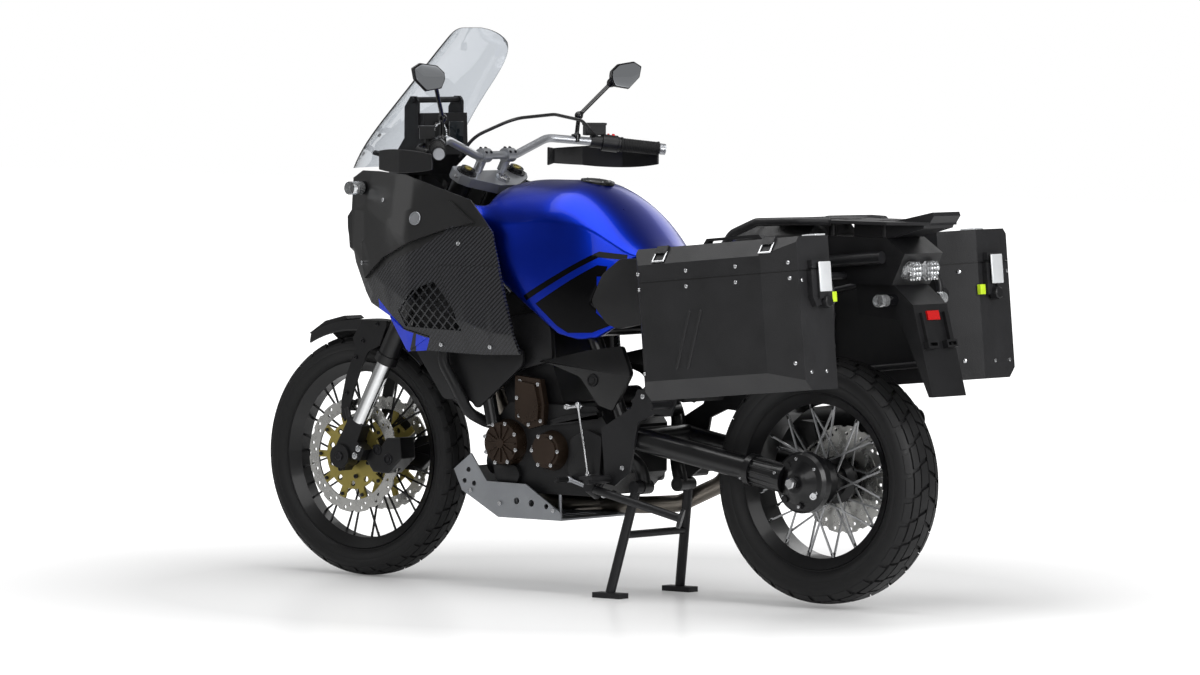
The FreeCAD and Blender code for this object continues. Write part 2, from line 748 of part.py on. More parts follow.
mirror_faces = [mirror_outline("mirror_glass", 0.96, "-mirror_thickness / 2"),
                mirror_outline("mirror_rim", 1.0, "-mirror_thickness / 4"),
                mirror_outline("mirror_back", 0.62, "mirror_thickness")]
loft(mirror_head, "mirror_shell", mirror_faces, True)
doc.recompute()
stem_points = places(
    ("bar_centre_x - 46", "bar_half_width - 190", "bar_height + bar_rise - 8"),
    ("bar_centre_x - 52", "bar_half_width - 186", "bar_height + bar_rise + 60"),
    ("mirror_x + 8", "mirror_spread - 40", "mirror_height - 20"),
)
mirror_left = mirror_head.Shape.fuse([
    tube(stem_points, value("stem_radius"), 40),
    Part.makeSphere(value("stem_radius") + 6, stem_points[1]),
    Part.makeSphere(value("stem_radius") + 7, stem_points[2]),
    Part.makeCylinder(13, 22, stem_points[0] - Vector(0, 0, 4), Vector(0, 0, 1)),
])
mirror_seated = feature("mirror_seated", mirror_left.cut([handlebar.Shape, both_controls.Shape]))
pair(mirror_seated, "mirrors")

fender = new_body("fender_arch", ("front_axle_x", "0", "front_axle_z"), ((0, 1, 0), "-fender_rear_angle"))
fender_cut = outline(fender, "fender_section", "XY_Plane", [
    ("fender_radius", "-fender_half_width * 0.7"), ("fender_radius", "fender_half_width * 0.7"),
    ("fender_radius - 26", "fender_half_width"),
    ("fender_radius - 26 - fender_wall", "fender_half_width - 2"),
    ("fender_radius - fender_wall", "fender_half_width * 0.7 - 2"),
    ("fender_radius - fender_wall", "2 - fender_half_width * 0.7"),
    ("fender_radius - 26 - fender_wall", "2 - fender_half_width"),
    ("fender_radius - 26", "-fender_half_width"),
])
revolve(fender, "fender_turned", fender_cut, "V_Axis", "fender_rear_angle - fender_front_angle")
beak = new_body("beak", ("front_axle_x", "0", "front_axle_z"))
beak_side = outline(beak, "beak_side", "XZ_Plane", [
    ("187", "fender_radius - 44"), ("130", "fender_radius - 8"), ("64", "fender_radius + 8"),
    ("52", "fender_radius"), ("118", "fender_radius - 21"), ("168", "fender_radius - 48"),
])
pad(beak, "beak_pad", beak_side, "fender_half_width * 1.1")
cheek_y = "fender_half_width + 20"
cheek = new_body("cheek", ("front_axle_x", "0", "front_axle_z"))
cheek_side = outline(cheek, "cheek_side", "XZ_Plane", [
    ("-128", "fender_radius - 12"), ("-128", "fender_radius + 2"), ("-44", "fender_radius + 2"),
    ("-10", "320"),
    ("-20", "292"), ("-3", "252"), ("14", "210"), ("28", "150"), ("28", "110"), ("18", "92"), ("4", "114"),
    ("-15", "180"), ("-39", "240"), ("-64", "284"), ("-104", "302"),
], "-(" + cheek_y + ")")
pad(cheek, "cheek_pad", cheek_side, "6")
gusset_side = outline(cheek, "gusset_side", "XZ_Plane", [
    ("-126", "fender_radius - 10"), ("-126", "fender_radius"), ("-46", "fender_radius"), ("-14", "322"),
    ("-60", "312"), ("-104", "306"),
], "-(fender_half_width + 9)")
pad(cheek, "gusset_pad", gusset_side, "24")
doc.recompute()
stay = tube(places(
    ("front_axle_x + 10", cheek_y, "front_axle_z + 128"), ("front_axle_x - 16", "fork_spacing / 2 - 2",
                                                           "front_axle_z + 84"),
), 8, 20)
left_cheek = cheek.Shape.fuse(stay)
fender_shape = fused([fender.Shape, beak.Shape, left_cheek, left_cheek.mirror(Vector(), SIDEWAYS)])
fender_shape = fender_shape.cut([finished("fork_feet").Shape, finished("fork_outer_tubes").Shape])
node(feature("front_fender", fender_shape), "front_fender")


def slotted(name, block, radius, base):
    """A caliper block with the slot that its disc turns in."""
    gap = "disc_thickness + 2 * caliper_room"
    room = cylinder(name + "_slot", radius + " + 5", gap, base, "Y", "-(%s) / 2" % gap)
    cut = doc.addObject("Part::Cut", name)
    cut.Base = block
    cut.Tool = room
    return cut


caliper = new_body("caliper", ("front_axle_x", "front_disc_y", "front_axle_z"), RAKE_TURN)
caliper_side = outline(caliper, "caliper_side", "XZ_Plane", [
    ("-62", "24"), ("-100", "8"), ("-146", "30"), ("-168", "90"), ("-136", "138"), ("-96", "112"),
    ("-88", "70"), ("-62", "54"),
])
pad(caliper, "caliper_pad", caliper_side, "60")
pair(slotted("left_caliper", caliper, "front_disc_radius",
             ("front_axle_x", "front_disc_y", "front_axle_z")), "front_calipers")


# Frame: steering head, two main tubes, down tubes and the rear carrier tubes
def head_point(height, ahead=0.0):
    """A point on the steering axis at a height up the fork."""
    rake = math.radians(value("rake_angle"))
    forward = Vector(math.cos(rake), 0, math.sin(rake))
    axle_place = Vector(value("front_axle_x"), 0, value("front_axle_z"))
    return axle_place + fork_up * height + forward * (ahead - value("fork_offset"))


head_low = head_point(value("head_tube_bottom"))
head_high = head_point(value("head_tube_top"))
head_tube = Part.makeCylinder(value("head_tube_radius"), (head_high - head_low).Length, head_low, fork_up)
head_bore = Part.makeCylinder(value("head_tube_radius") - 8 + 0.3, (head_high - head_low).Length + 100,
                              head_low - fork_up * 50, fork_up)
main_route = [head_point(value("head_tube_bottom") + 90, -10) + Vector(0, 12, 0)] + places(
    ("backbone_x", "frame_half_width - 30", "backbone_z"),
    ("backbone_rear_x", "frame_half_width", "backbone_rear_z"),
    ("pivot_x + 30", "frame_half_width", "pivot_z + 40"),
    ("pivot_x + 36", "frame_half_width", "stand_pivot_z + 96"),
    ("stand_pivot_x + 12", "stand_boss_y", "stand_pivot_z + 50"),
    ("stand_pivot_x", "stand_boss_y", "stand_pivot_z + 4"),
)
down_route = [head_point(value("head_tube_bottom") + 40, -20) + Vector(0, 14, 0)] + places(
    ("engine_front_x + 56", "frame_half_width + 16", "720"),
    ("engine_front_x - 20", "engine_width / 2 + frame_tube_radius", "engine_top_z - 60"),
)
tube_r = value("frame_tube_radius")
frame_pieces = [head_tube]
for route in (main_route, down_route):
    frame_pieces.append(tube(route, tube_r, 60))
    frame_pieces.append(tube(mirrored_points(route), tube_r, 60))
for point in places(("backbone_rear_x", "0", "backbone_rear_z"), ("pivot_x + 30", "0", "pivot_z + 60")):
    reach = value("frame_half_width")
    frame_pieces.append(Part.makeCylinder(tube_r - 3, 2 * reach, point - Vector(0, reach, 0),
                                          Vector(0, 1, 0)))
pivot_bar = Part.makeCylinder(24, 2 * value("arm_tube_y"),
                              places(("pivot_x", "-arm_tube_y", "pivot_z"))[0], Vector(0, 1, 0))
boss_r = value("stand_tube_radius") + 6
for sign in (1, -1):
    inner = places(("stand_pivot_x", "stand_boss_y - frame_tube_radius", "stand_pivot_z"))[0]
    boss = Part.makeCylinder(boss_r, 2 * tube_r, inner, SIDEWAYS)
    frame_pieces.append(boss if sign > 0 else boss.mirror(Vector(), SIDEWAYS))
    mount = places(("backbone_x", "(%d) * (frame_half_width - 30)" % sign, "backbone_z"))[0]
    frame_pieces.append(Part.makeCylinder(12, value("tank_mount_rise"), mount, Vector(0, 0, 1)))
stand_bore = Part.makeCylinder(value("stand_pin_radius") + value("axle_play"), 400,
                               places(("stand_pivot_x", "-200", "stand_pivot_z"))[0], SIDEWAYS)
stay_start = head_point(value("head_tube_bottom") + 110)
stay_reach = places(("cowl_front_x - 120", "0", "cowl_stay_z"))[0]
post_start = places(("cowl_front_x - 160", "0", "cowl_stay_z - 15"))[0]
frame_pieces.append(tube([stay_start, stay_reach], 14))
frame_pieces.append(Part.makeCylinder(12, value("dash_bottom_z") - post_start.z, post_start, Vector(0, 0, 1)))

# The side stand swings in a plane that takes it from beside the frame to out and down
prop_start = places(("prop_pivot_x", "prop_pivot_y", "prop_pivot_z"))[0]
folded_way = Vector(-0.98, 0.02, -0.2).normalize()
parked_way = Vector(0.12, 0.46, -0.83).normalize()
swing_axis = folded_way.cross(parked_way).normalize()
swing_angle = math.degrees(folded_way.getAngle(parked_way))
lug_start = prop_start + swing_axis * 0.3
frame_pieces.append(Part.makeCylinder(15, 24, lug_start, swing_axis))
frame_pieces.append(tube([lug_start + swing_axis * 14] + places(("pivot_x + 34", "frame_half_width - 4",
                                                                  "stand_pivot_z + 86")), 8))
prop_bore = Part.makeCylinder(6 + value("axle_play"), 60, prop_start - swing_axis * 30, swing_axis)
frame_shape = fused(frame_pieces).cut([head_bore, pivot_bar, stand_bore, prop_bore])

sub_r = value("subframe_tube_radius")
rail_route = places(
    ("backbone_rear_x - 6", "frame_half_width - 8", "backbone_rear_z + 16"),
    ("tank_rear_x", "frame_half_width - 16", "seat_top_z - 120"),
    ("seat_rear_x", "frame_half_width - 18", "seat_top_z - 112"),
    ("pillion_rear_x", "frame_half_width - 20", "pillion_top_z - 90"),
    ("tail_rear_x + 60", "frame_half_width - 20", "pillion_top_z - 70"),
)
strut_route = places(
    ("pivot_x - 10", "frame_half_width + 6", "pivot_z + 90"),
    ("seat_rear_x - 60", "frame_half_width - 16", "seat_top_z - 86"),
)
loop_route = places(
    ("case_front_x + 40", "frame_half_width - 10", "seat_top_z - 112"),
    ("case_front_x - 60", "case_inner_y - 22", "case_bottom_z + 262"),
    ("case_front_x - case_length + 90", "case_inner_y - 22", "case_bottom_z + 340"),
    ("case_front_x - case_length + 90", "case_inner_y - 22", "case_bottom_z + 90"),
    ("case_front_x - 60", "case_inner_y - 22", "case_bottom_z + 50"),
    ("case_front_x - 60", "case_inner_y - 22", "case_bottom_z + 292"),
)
sub_pieces = []
for route, radius in ((rail_route, sub_r + 4), (strut_route, sub_r), (loop_route, sub_r - 3)):
    sub_pieces.append(tube(route, radius, 45))
    sub_pieces.append(tube(mirrored_points(route), radius, 45))
for rule in (("seat_rear_x", "0", "seat_top_z - 112"), ("pillion_rear_x", "0", "pillion_top_z - 90")):
    point = places(rule)[0]
    reach = 104
    sub_pieces.append(Part.makeCylinder(sub_r, 2 * reach, point - Vector(0, reach, 0), Vector(0, 1, 0)))
cross_at = loop_route[1] + (loop_route[2] - loop_route[1]) * 0.8
reach = cross_at.y
cross_at.y = 0
sub_pieces.append(Part.makeCylinder(sub_r - 3, 2 * reach, cross_at - Vector(0, reach, 0), Vector(0, 1, 0)))
for x_rule, z_rule in (("case_front_x - 60", "case_bottom_z + 200"),
                       ("case_front_x - 60", "case_bottom_z + 120"),
                       ("case_front_x - case_length + 90", "case_bottom_z + 270"),
                       ("case_front_x - case_length + 90", "case_bottom_z + 150")):
    puck_at = places((x_rule, "case_inner_y - 22", z_rule))[0]
    puck = Part.makeCylinder(15, 22, puck_at, Vector(0, 1, 0))
    sub_pieces += [puck, puck.mirror(Vector(), Vector(0, 1, 0))]
rear_subframe = node(feature("rear_subframe", fused(sub_pieces).cut(frame_shape)), "rear_subframe")


# Engine: an inclined parallel twin, with its round side covers
engine = new_body("engine_block")
crankcase = outline(engine, "crankcase_side", "XZ_Plane", [
    ("engine_rear_x", "engine_bottom_z + 60"), ("engine_rear_x + 60", "engine_bottom_z"),
    ("engine_front_x - 60", "engine_bottom_z"), ("engine_front_x", "engine_bottom_z + 70"),
    ("engine_front_x", "engine_top_z - 60"), ("engine_front_x - 60", "engine_top_z"),
    ("engine_rear_x + 40", "engine_top_z"), ("engine_rear_x", "engine_top_z - 50"),
])
pad(engine, "crankcase", crankcase, "engine_width")
barrel = outline(engine, "barrel_side", "XZ_Plane", [
    ("engine_front_x - 230", "engine_top_z - 10"), ("engine_front_x - 40", "engine_top_z - 10"),
    ("head_top_x + 30", "head_top_z - 90"), ("head_top_x - 140", "head_top_z - 40"),
])
pad(engine, "barrels", barrel, "cylinder_width - 30")
head = outline(engine, "head_side", "XZ_Plane", [
    ("head_top_x + 36", "head_top_z - 120"), ("head_top_x + 50", "head_top_z - 50"),
    ("head_top_x + 20", "head_top_z"), ("head_top_x - 120", "head_top_z + 30"),
    ("head_top_x - 150", "head_top_z - 40"),
])
pad(engine, "head", head, "cylinder_width")
joint_line = outline(engine, "joint_line", "XZ_Plane", [
    ("engine_rear_x - 6", "engine_bottom_z + 134"), ("engine_front_x + 6", "engine_bottom_z + 134"),
    ("engine_front_x + 6", "engine_bottom_z + 146"), ("engine_rear_x - 6", "engine_bottom_z + 146"),
])
pad(engine, "case_joint", joint_line, "engine_width - 24")
head_joint = outline(engine, "head_joint", "XZ_Plane", [
    ("head_top_x - 152", "head_top_z - 62"), ("head_top_x + 42", "head_top_z - 122"),
    ("head_top_x + 45", "head_top_z - 112"), ("head_top_x - 149", "head_top_z - 52"),
])
pad(engine, "head_joint_band", head_joint, "cylinder_width + 6")
cam_cover = outline(engine, "cam_cover", "XZ_Plane", [
    ("head_top_x + 16", "head_top_z - 8"), ("head_top_x - 2", "head_top_z + 20"),
    ("head_top_x - 92", "head_top_z + 40"), ("head_top_x - 122", "head_top_z + 24"),
])
pad(engine, "cam_cover_band", cam_cover, "cylinder_width / 2 - 8")
doc.recompute()
engine_extras = [
    Part.makeCylinder(36, 62, places(("engine_front_x - 2", "42", "engine_bottom_z + 74"))[0],
                      Vector(1, 0, 0)),
    Part.makeCylinder(27, 150, places(("engine_rear_x + 62", "-75", "engine_top_z + 22"))[0], SIDEWAYS),
    tube(places(
        ("engine_front_x + 120", "190", "fairing_bottom_z + 28"),
        ("engine_front_x + 120", "190", "fairing_bottom_z - 32"),
        ("engine_front_x + 82", "186", "engine_top_z + 40"),
        ("engine_front_x + 48", "172", "engine_top_z - 30"),
        ("engine_front_x + 22", "120", "engine_top_z - 60"),
        ("engine_front_x - 38", "90", "engine_top_z - 60"),
    ), 15, 50),
]
for sign in (1, -1):
    intake_at = places(("head_top_x - 136", "(%d) * 50" % sign, "head_top_z - 50"))[0]
    engine_extras.append(Part.makeCylinder(25, 92, intake_at, Vector(-1, 0, -0.1)))
    engine_extras.append(Part.makeCylinder(30, 12, intake_at + Vector(-70, 0, -7), Vector(-1, 0, -0.1)))
engine_whole = fused([engine.Shape] + engine_extras)
node(feature("engine_whole", engine_whole), "engine")


def cover(name, radius, x_place, z_place, depth):
    """A round side cover with a tapered rim, on the engine's left flank."""
    cone = doc.addObject("Part::Cone", name)
    cone.Placement = Placement(Vector(), Rotation(Vector(1, 0, 0), -90))
    cone.setExpression("Radius1", bound(radius))
    cone.setExpression("Radius2", bound(radius + " - 9"))
    cone.setExpression("Height", bound(depth))
    cone.setExpression("Placement.Base.x", bound(x_place))
    cone.setExpression("Placement.Base.y", bound("engine_width / 2"))
    cone.setExpression("Placement.Base.z", bound(z_place))
    return cone


def ribbed(source, radius, count):
    """A cover with raised ribs and a hub on its face."""
    base = source.Placement.Base
    face = base + SIDEWAYS * value("cover_depth")
    pieces = [source.Shape, Part.makeCylinder(radius * 0.2, 7, face - SIDEWAYS, SIDEWAYS)]
    for index in range(count):
        rib = Part.makeBox(radius * 0.66, 5, 4, Vector(radius * 0.12, -1, -2))
        rib.rotate(Vector(), SIDEWAYS, 360 * index / count)
        rib.translate(face)
        pieces.append(rib)
    return fused(pieces)


generator = cover("generator", "generator_radius", "engine_front_x - 54", "engine_bottom_z + 130",
                  "cover_depth")
shift = cover("shift_cover", "shift_cover_radius", "engine_front_x - 204", "engine_bottom_z + 116",
              "cover_depth")
clutch_source = cover("clutch_source", "clutch_radius", "engine_front_x - 190", "engine_bottom_z + 112",
                      "cover_depth")
chain_case = new_body("chain_case")
for name, grow, depth in (("chain_case_low", 0, "cover_depth - 12"),
                          ("chain_case_high", 14, "cover_depth - 4")):
    view = outline(chain_case, name, "XZ_Plane", [
        ("engine_front_x - %d" % (92 + grow), "engine_top_z + %d" % (74 - grow)),
        ("engine_front_x - %d" % (176 - grow), "engine_top_z + %d" % (66 - grow)),
        ("engine_front_x - %d" % (190 - grow), "engine_top_z"),
        ("engine_front_x - %d" % (188 - grow), "engine_top_z - %d" % (54 - grow)),
        ("engine_front_x - %d" % (140 - grow), "engine_top_z - %d" % (66 - grow)),
        ("engine_front_x - %d" % (92 + grow), "engine_top_z - %d" % (40 - grow)),
    ], "-engine_width / 2")
    padded = pad(chain_case, name + "_pad", view, depth, False)
    padded.Reversed = True
doc.recompute()
shift_plate = Part.makeCylinder(value("shift_cover_radius") - 18, 5,
                                shift.Placement.Base + SIDEWAYS * (value("cover_depth") - 1), SIDEWAYS)
clutch_ribbed = ribbed(clutch_source, value("clutch_radius"), 10).mirror(Vector(), SIDEWAYS)
covers = doc.addObject("Part::Compound", "covers")
covers.Links = [
    feature("generator_cover", ribbed(generator, value("generator_radius"), 12)),
    feature("chain_cover", chain_case.Shape.cut(engine_whole)),
    feature("gear_cover", fused([shift.Shape, shift_plate])),
    feature("clutch_cover", clutch_ribbed),
]
node(covers, "engine_covers")
doc.recompute()
node(feature("main_frame", frame_shape.cut([engine.Shape, covers.Shape])), "main_frame")

skid = new_body("skid")
skid_side = outline(skid, "skid_side", "XZ_Plane", [
    ("10", "skid_bottom_z"), ("222", "skid_bottom_z"), ("skid_front_x - 28", "skid_bottom_z + 66"),
    ("skid_front_x", "skid_bottom_z + 122"), ("skid_front_x - 58", "skid_bottom_z + 166"),
    ("262", "skid_bottom_z + 94"), ("130", "skid_bottom_z + 92"), ("10", "skid_bottom_z + 20"),
])
pad(skid, "skid_pad", skid_side, "skid_width")
skid_room = outline(skid, "skid_room", "XZ_Plane", [
    ("-20", "skid_bottom_z + skid_wall"), ("221", "skid_bottom_z + skid_wall"),
    ("skid_front_x - 32", "skid_bottom_z + 68 + skid_wall"),
    ("skid_front_x - skid_wall", "skid_bottom_z + 124"), ("skid_front_x - 50", "skid_bottom_z + 200"),
    ("-20", "skid_bottom_z + 200"),
])
doc.recompute()
pocket(skid, "skid_pocket", skid_room, "skid_width - 2 * skid_wall")
posts = []
for x_rule in ("40", "190"):
    for sign in (1, -1):
        y_rule = "(%d) * (engine_width / 2 - 5)" % sign
        posts.append(cylinder("skid_post", "4.5", "engine_bottom_z - skid_bottom_z - skid_wall + 1",
                              (x_rule, y_rule, "skid_bottom_z + skid_wall - 1")))
skid_whole = doc.addObject("Part::MultiFuse", "skid_whole")
skid_whole.Shapes = [skid] + posts
skid_holes = [cylinder("skid_hole", radius, "skid_width + 20", (x_rule, "0", z_rule), "Y",
                       "-skid_width / 2 - 10")
              for x_rule, z_rule, radius in (
                  ("skid_front_x - 50", "skid_bottom_z + 122", "7"),
                  ("skid_front_x - 37", "skid_bottom_z + 92", "7"),
                  ("skid_front_x - 69", "skid_bottom_z + 86", "7"), ("160", "skid_bottom_z + 46", "9"),
                  ("110", "skid_bottom_z + 42", "9"), ("60", "skid_bottom_z + 36", "7"))]
for y_rule in ("-80", "-30", "20", "70"):
    slot = doc.addObject("Part::Box", "skid_slot")
    slot.setExpression("Length", bound("70"))
    slot.setExpression("Width", bound("14"))
    slot.setExpression("Height", bound("40"))
    slot.setExpression("Placement.Base.x", bound("70"))
    slot.setExpression("Placement.Base.y", bound(y_rule))
    slot.setExpression("Placement.Base.z", bound("skid_bottom_z - 20"))
    skid_holes.append(slot)
skid_openings = doc.addObject("Part::Compound", "skid_openings")
skid_openings.Links = skid_holes
node(trimmed("skid_drilled", skid_whole, skid_openings), "skid_plate")


# Tank: a smooth skin with a sharp shoulder crease, its lower edge cut to the tank's side view
def curve(points):
    """A smooth edge through points."""
    line = Part.BSplineCurve()
    line.interpolate(points)
    return line.toShape()


def tank_ring(share, top_drop, crease, belly, low):
    """A closed section at a share of the tank's length: crown, two flanks and the underside."""
    ahead = value("tank_front_x") - share * (value("tank_front_x") - value("tank_rear_x"))
    half = value("tank_half_width")
    high = value("tank_top_z")
    crease_y = half - crease[0]
    crease_z = high - crease[1]
    top = high - top_drop
    belly_at = Vector(ahead, half - belly[0], high - belly[1])
    low_at = Vector(ahead, half - low[0], value("tank_bottom_z") + low[1])
    crease_at = Vector(ahead, crease_y, crease_z)
    mid_at = Vector(ahead, crease_y * 0.6, top - 0.24 * (top - crease_z))
    crown = [flipped(crease_at), flipped(mid_at), Vector(ahead, 0, top), mid_at, crease_at]
    return Part.Wire([
        curve(crown), curve([crease_at, belly_at, low_at]),
        Part.LineSegment(low_at, flipped(low_at)).toShape(),
        curve([flipped(low_at), flipped(belly_at), flipped(crease_at)]),
    ])


def flipped(point):
    """The same place on the other side of the middle plane."""
    return Vector(point.x, -point.y, point.z)


TANK_ROWS = (
    (0.0, 58, (34, 69), (32, 88), (42, 270)), (0.1, 26, (21, 96), (14, 124), (28, 190)),
    (0.22, 4, (13, 120), (5, 167), (24, 110)), (0.42, 0, (12, 107), (0, 197), (18, 55)),
    (0.6, 3, (12, 106), (2, 212), (22, 0)), (0.71, 30, (18, 114), (6, 222), (28, -22)),
    (0.82, 76, (32, 137), (20, 242), (38, -22)), (0.91, 125, (54, 170), (44, 252), (54, -10)),
    (1.0, 170, (86, 190), (78, 232), (84, 10)),
)
tank_skin = feature("tank_skin", Part.makeLoft([tank_ring(*row) for row in TANK_ROWS], True))
tank_side = new_body("tank_side")
tank_edge = outline(tank_side, "tank_edge", "XZ_Plane", [
    ("tank_front_x + 7", "tank_top_z + 100"), ("tank_front_x + 7", "tank_top_z - 68"),
    ("tank_front_x - 67", "tank_top_z - 120"), ("tank_front_x - 95", "tank_top_z - 136"),
    ("tank_front_x - 113", "tank_top_z - 237"), ("tank_front_x - 222", "tank_bottom_z + 81"),
    ("tank_front_x - 333", "tank_bottom_z + 1"), ("tank_front_x - 397", "tank_bottom_z - 13"),
    ("tank_rear_x + 105", "tank_bottom_z - 6"), ("tank_rear_x + 47", "tank_bottom_z + 28"),
    ("tank_rear_x + 114", "tank_bottom_z + 89"), ("tank_rear_x + 79", "tank_bottom_z + 161"),
    ("tank_rear_x + 8", "tank_bottom_z + 206"), ("tank_rear_x - 5", "tank_bottom_z + 210"),
    ("tank_rear_x - 5", "tank_top_z + 100"),
])
pad(tank_side, "tank_side_pad", tank_edge, "3 * tank_half_width")
tank = doc.addObject("Part::Common", "tank")
tank.Base = tank_skin
tank.Tool = tank_side
tank_room = new_body("tank_room")
tunnel = outline(tank_room, "tank_tunnel", "XZ_Plane", [
    ("tank_front_x + 20", "tank_bottom_z - 60"), ("tank_front_x + 20", "backbone_z + 116"),
    ("backbone_x + 16", "backbone_z + tank_mount_rise"), ("backbone_x - 16", "backbone_z + tank_mount_rise"),
    ("backbone_rear_x + 60", "backbone_rear_z + 86"),
    ("backbone_rear_x", "backbone_rear_z + 54"), ("tank_rear_x - 20", "backbone_rear_z + 74"),
    ("tank_rear_x - 20", "tank_bottom_z - 60"),
])
pad(tank_room, "tank_tunnel_pad", tunnel, "2 * (frame_half_width + frame_tube_radius + 6)")
notch = outline(tank_room, "tank_notch", "XY_Plane", [
    ("tank_front_x - 76", "-152"), ("tank_front_x + 22", "-152"), ("tank_front_x + 22", "152"),
    ("tank_front_x - 76", "152"),
], "tank_top_z - 200")
pad(tank_room, "tank_notch_pad", notch, "600")
node(trimmed("tank_trimmed", tank, tank_room), "fuel_tank")


def cushion(name, front, rear, top, half, depth):
    """A padded seat as a closed form with a crowned top."""
    body = new_body(name)
    sections = []
    for index, (place, width, lift, drop) in enumerate((
            (front, "(%s) - 55" % half, "-6", "0"), ("(%s) - 60" % front, "(%s) - 10" % half, "-10", "0"),
            ("((%s) + (%s)) / 2" % (front, rear), half, "0", "0"), (rear, "(%s) - 24" % half, "12", "6"))):
        sections.append(outline(body, "%s_hoop_%d" % (name, index), "YZ_Plane", [
            ("(%s) - 30" % width, "(%s) + %s" % (top, lift)), (width, "(%s) + %s - 26" % (top, lift)),
            (width, "(%s) - (%s)" % (top, depth)), ("-(%s)" % width, "(%s) - (%s)" % (top, depth)),
            ("-(%s)" % width, "(%s) + %s - 26" % (top, lift)),
            ("30 - (%s)" % width, "(%s) + %s" % (top, lift)),
        ], place))
    loft(body, name + "_skin", sections, True)
    return node(body, name)


cushion("rider_seat", "seat_front_x - 46.3", "seat_rear_x", "seat_top_z", "seat_half_width", "76")
cushion("pillion_seat", "pillion_front_x - 2", "pillion_rear_x", "pillion_top_z", "pillion_half_width", "70")


# Side fairings: one lofted skin each side, cut to its side view, with a grille and raised panels
WIDE = "fairing_half_width"
FAIRING_STATIONS = (
    (30, ((128, 820), (112, 920), (112, 1000), (122, 1120))),
    (60, ((112, 800), (98, 900), (100, 1000), (112, 1120))),
    (130, ((78, 720), (58, 850), (60, 1000), (84, 1120))),
    (250, ((40, 660), (14, 800), (20, 960), (52, 1125))),
    (320, ((30, 600), (0, 770), (2, 930), (40, 1125))), (510, ((26, 600), (4, 720), (4, 860), (38, 1100))),
    (600, ((34, 600), (14, 690), (16, 800), (40, 1060))), (700, ((44, 600), (28, 680), (30, 740), (44, 940))),
)


def fairing_skin(name, rise, wall):
    """The fairing's skin, moved out by a rise and as thick as a wall."""
    body = new_body(name)
    hoops = []
    for index, (back, rows) in enumerate(FAIRING_STATIONS):
        outer = [("%s - %d + (%s)" % (WIDE, inset, rise), "fairing_bottom_z + %d" % (height - 632))
                 for inset, height in rows]
        inner = [("%s - (%s)" % (across, wall), up) for across, up in reversed(outer)]
        hoops.append(outline(body, "%s_hoop_%d" % (name, index), "YZ_Plane", outer + inner,
                             "cowl_front_x - %d" % back))
    loft(body, name + "_loft", hoops, True)
    return body


def side_view(name, corners, width=WIDE + " * 1.9"):
    """A block through the left side whose outline is drawn from the nose back and the fairing's bottom up."""
    body = new_body(name, ("cowl_front_x", WIDE, "fairing_bottom_z"))
    edge = outline(body, name + "_edge", "XZ_Plane", [("-%d" % back, "%d" % up) for back, up in corners])
    pad(body, name + "_pad", edge, width)
    return body


def part_of(name, skin, view):
    """The piece of a skin that lies inside a side view."""
    kept = doc.addObject("Part::Common", name)
    kept.Base = skin
    kept.Tool = view
    return kept


fairing_base = part_of("fairing_base", fairing_skin("fairing_sheet", "0", "fairing_wall"),
                       side_view("fairing_view", (
                           (45, 453), (47, 366), (52, 285), (70, 226), (152, 120), (251, 86), (310, -4),
                           (381, 2), (568, -3), (686, 1), (592, 323), (516, 406), (290, 467),
                           (170, 474), (92, 474))))
grille_hole = side_view("grille_hole", ((284, 106), (345, 162), (417, 190), (528, 58), (310, 64)))
grille_edge = side_view("grille_edge", ((278, 107), (344, 168), (419, 197), (538, 53), (309, 58)))
wing = part_of("wing", fairing_skin("wing_sheet", "wing_rise", "wing_rise + 2"), side_view("wing_view", (
    (124, 279), (192, 326), (291, 366), (370, 389), (455, 402), (537, 346), (442, 325), (347, 293),
    (232, 246), (142, 186))))
lower_skin = fairing_skin("panel_sheet", "panel_rise", "panel_rise + 2")
corner_panel = part_of("corner_panel", lower_skin, side_view("corner_view", (
    (246, 88), (298, 58), (391, 39), (322, 1), (307, 1))))
rear_panel = part_of("rear_panel", lower_skin,
                     side_view("rear_view", ((430, 229), (618, 232), (684, 4), (536, 4))))
doc.recompute()
cell = value("grille_cell")
cell_side = (cell - value("grille_bar") * 1.4142) / 1.4142
cells = []
for row in range(24):
    for column in range(14):
        across = value("cowl_front_x") - 548 + cell * (column + 0.5 * (row % 2))
        up = value("fairing_bottom_z") + 40 + row * cell / 2
        box = Part.makeBox(cell_side, 200, cell_side, Vector(-cell_side / 2, 0, -cell_side / 2))
        box.rotate(Vector(), SIDEWAYS, 45)
        box.translate(Vector(across, value("fairing_half_width") - 120, up))
        cells.append(box)
grille_skin = fairing_skin("grille_sheet", "-1.5", "3")
doc.recompute()
grille = grille_skin.Shape.common(grille_edge.Shape).cut(cells)
left_fairing = fused([fairing_base.Shape.cut(grille_hole.Shape), grille, wing.Shape, corner_panel.Shape,
                      rear_panel.Shape])
fairing = feature("fairing_left", left_fairing)
pair(fairing, "side_fairings")

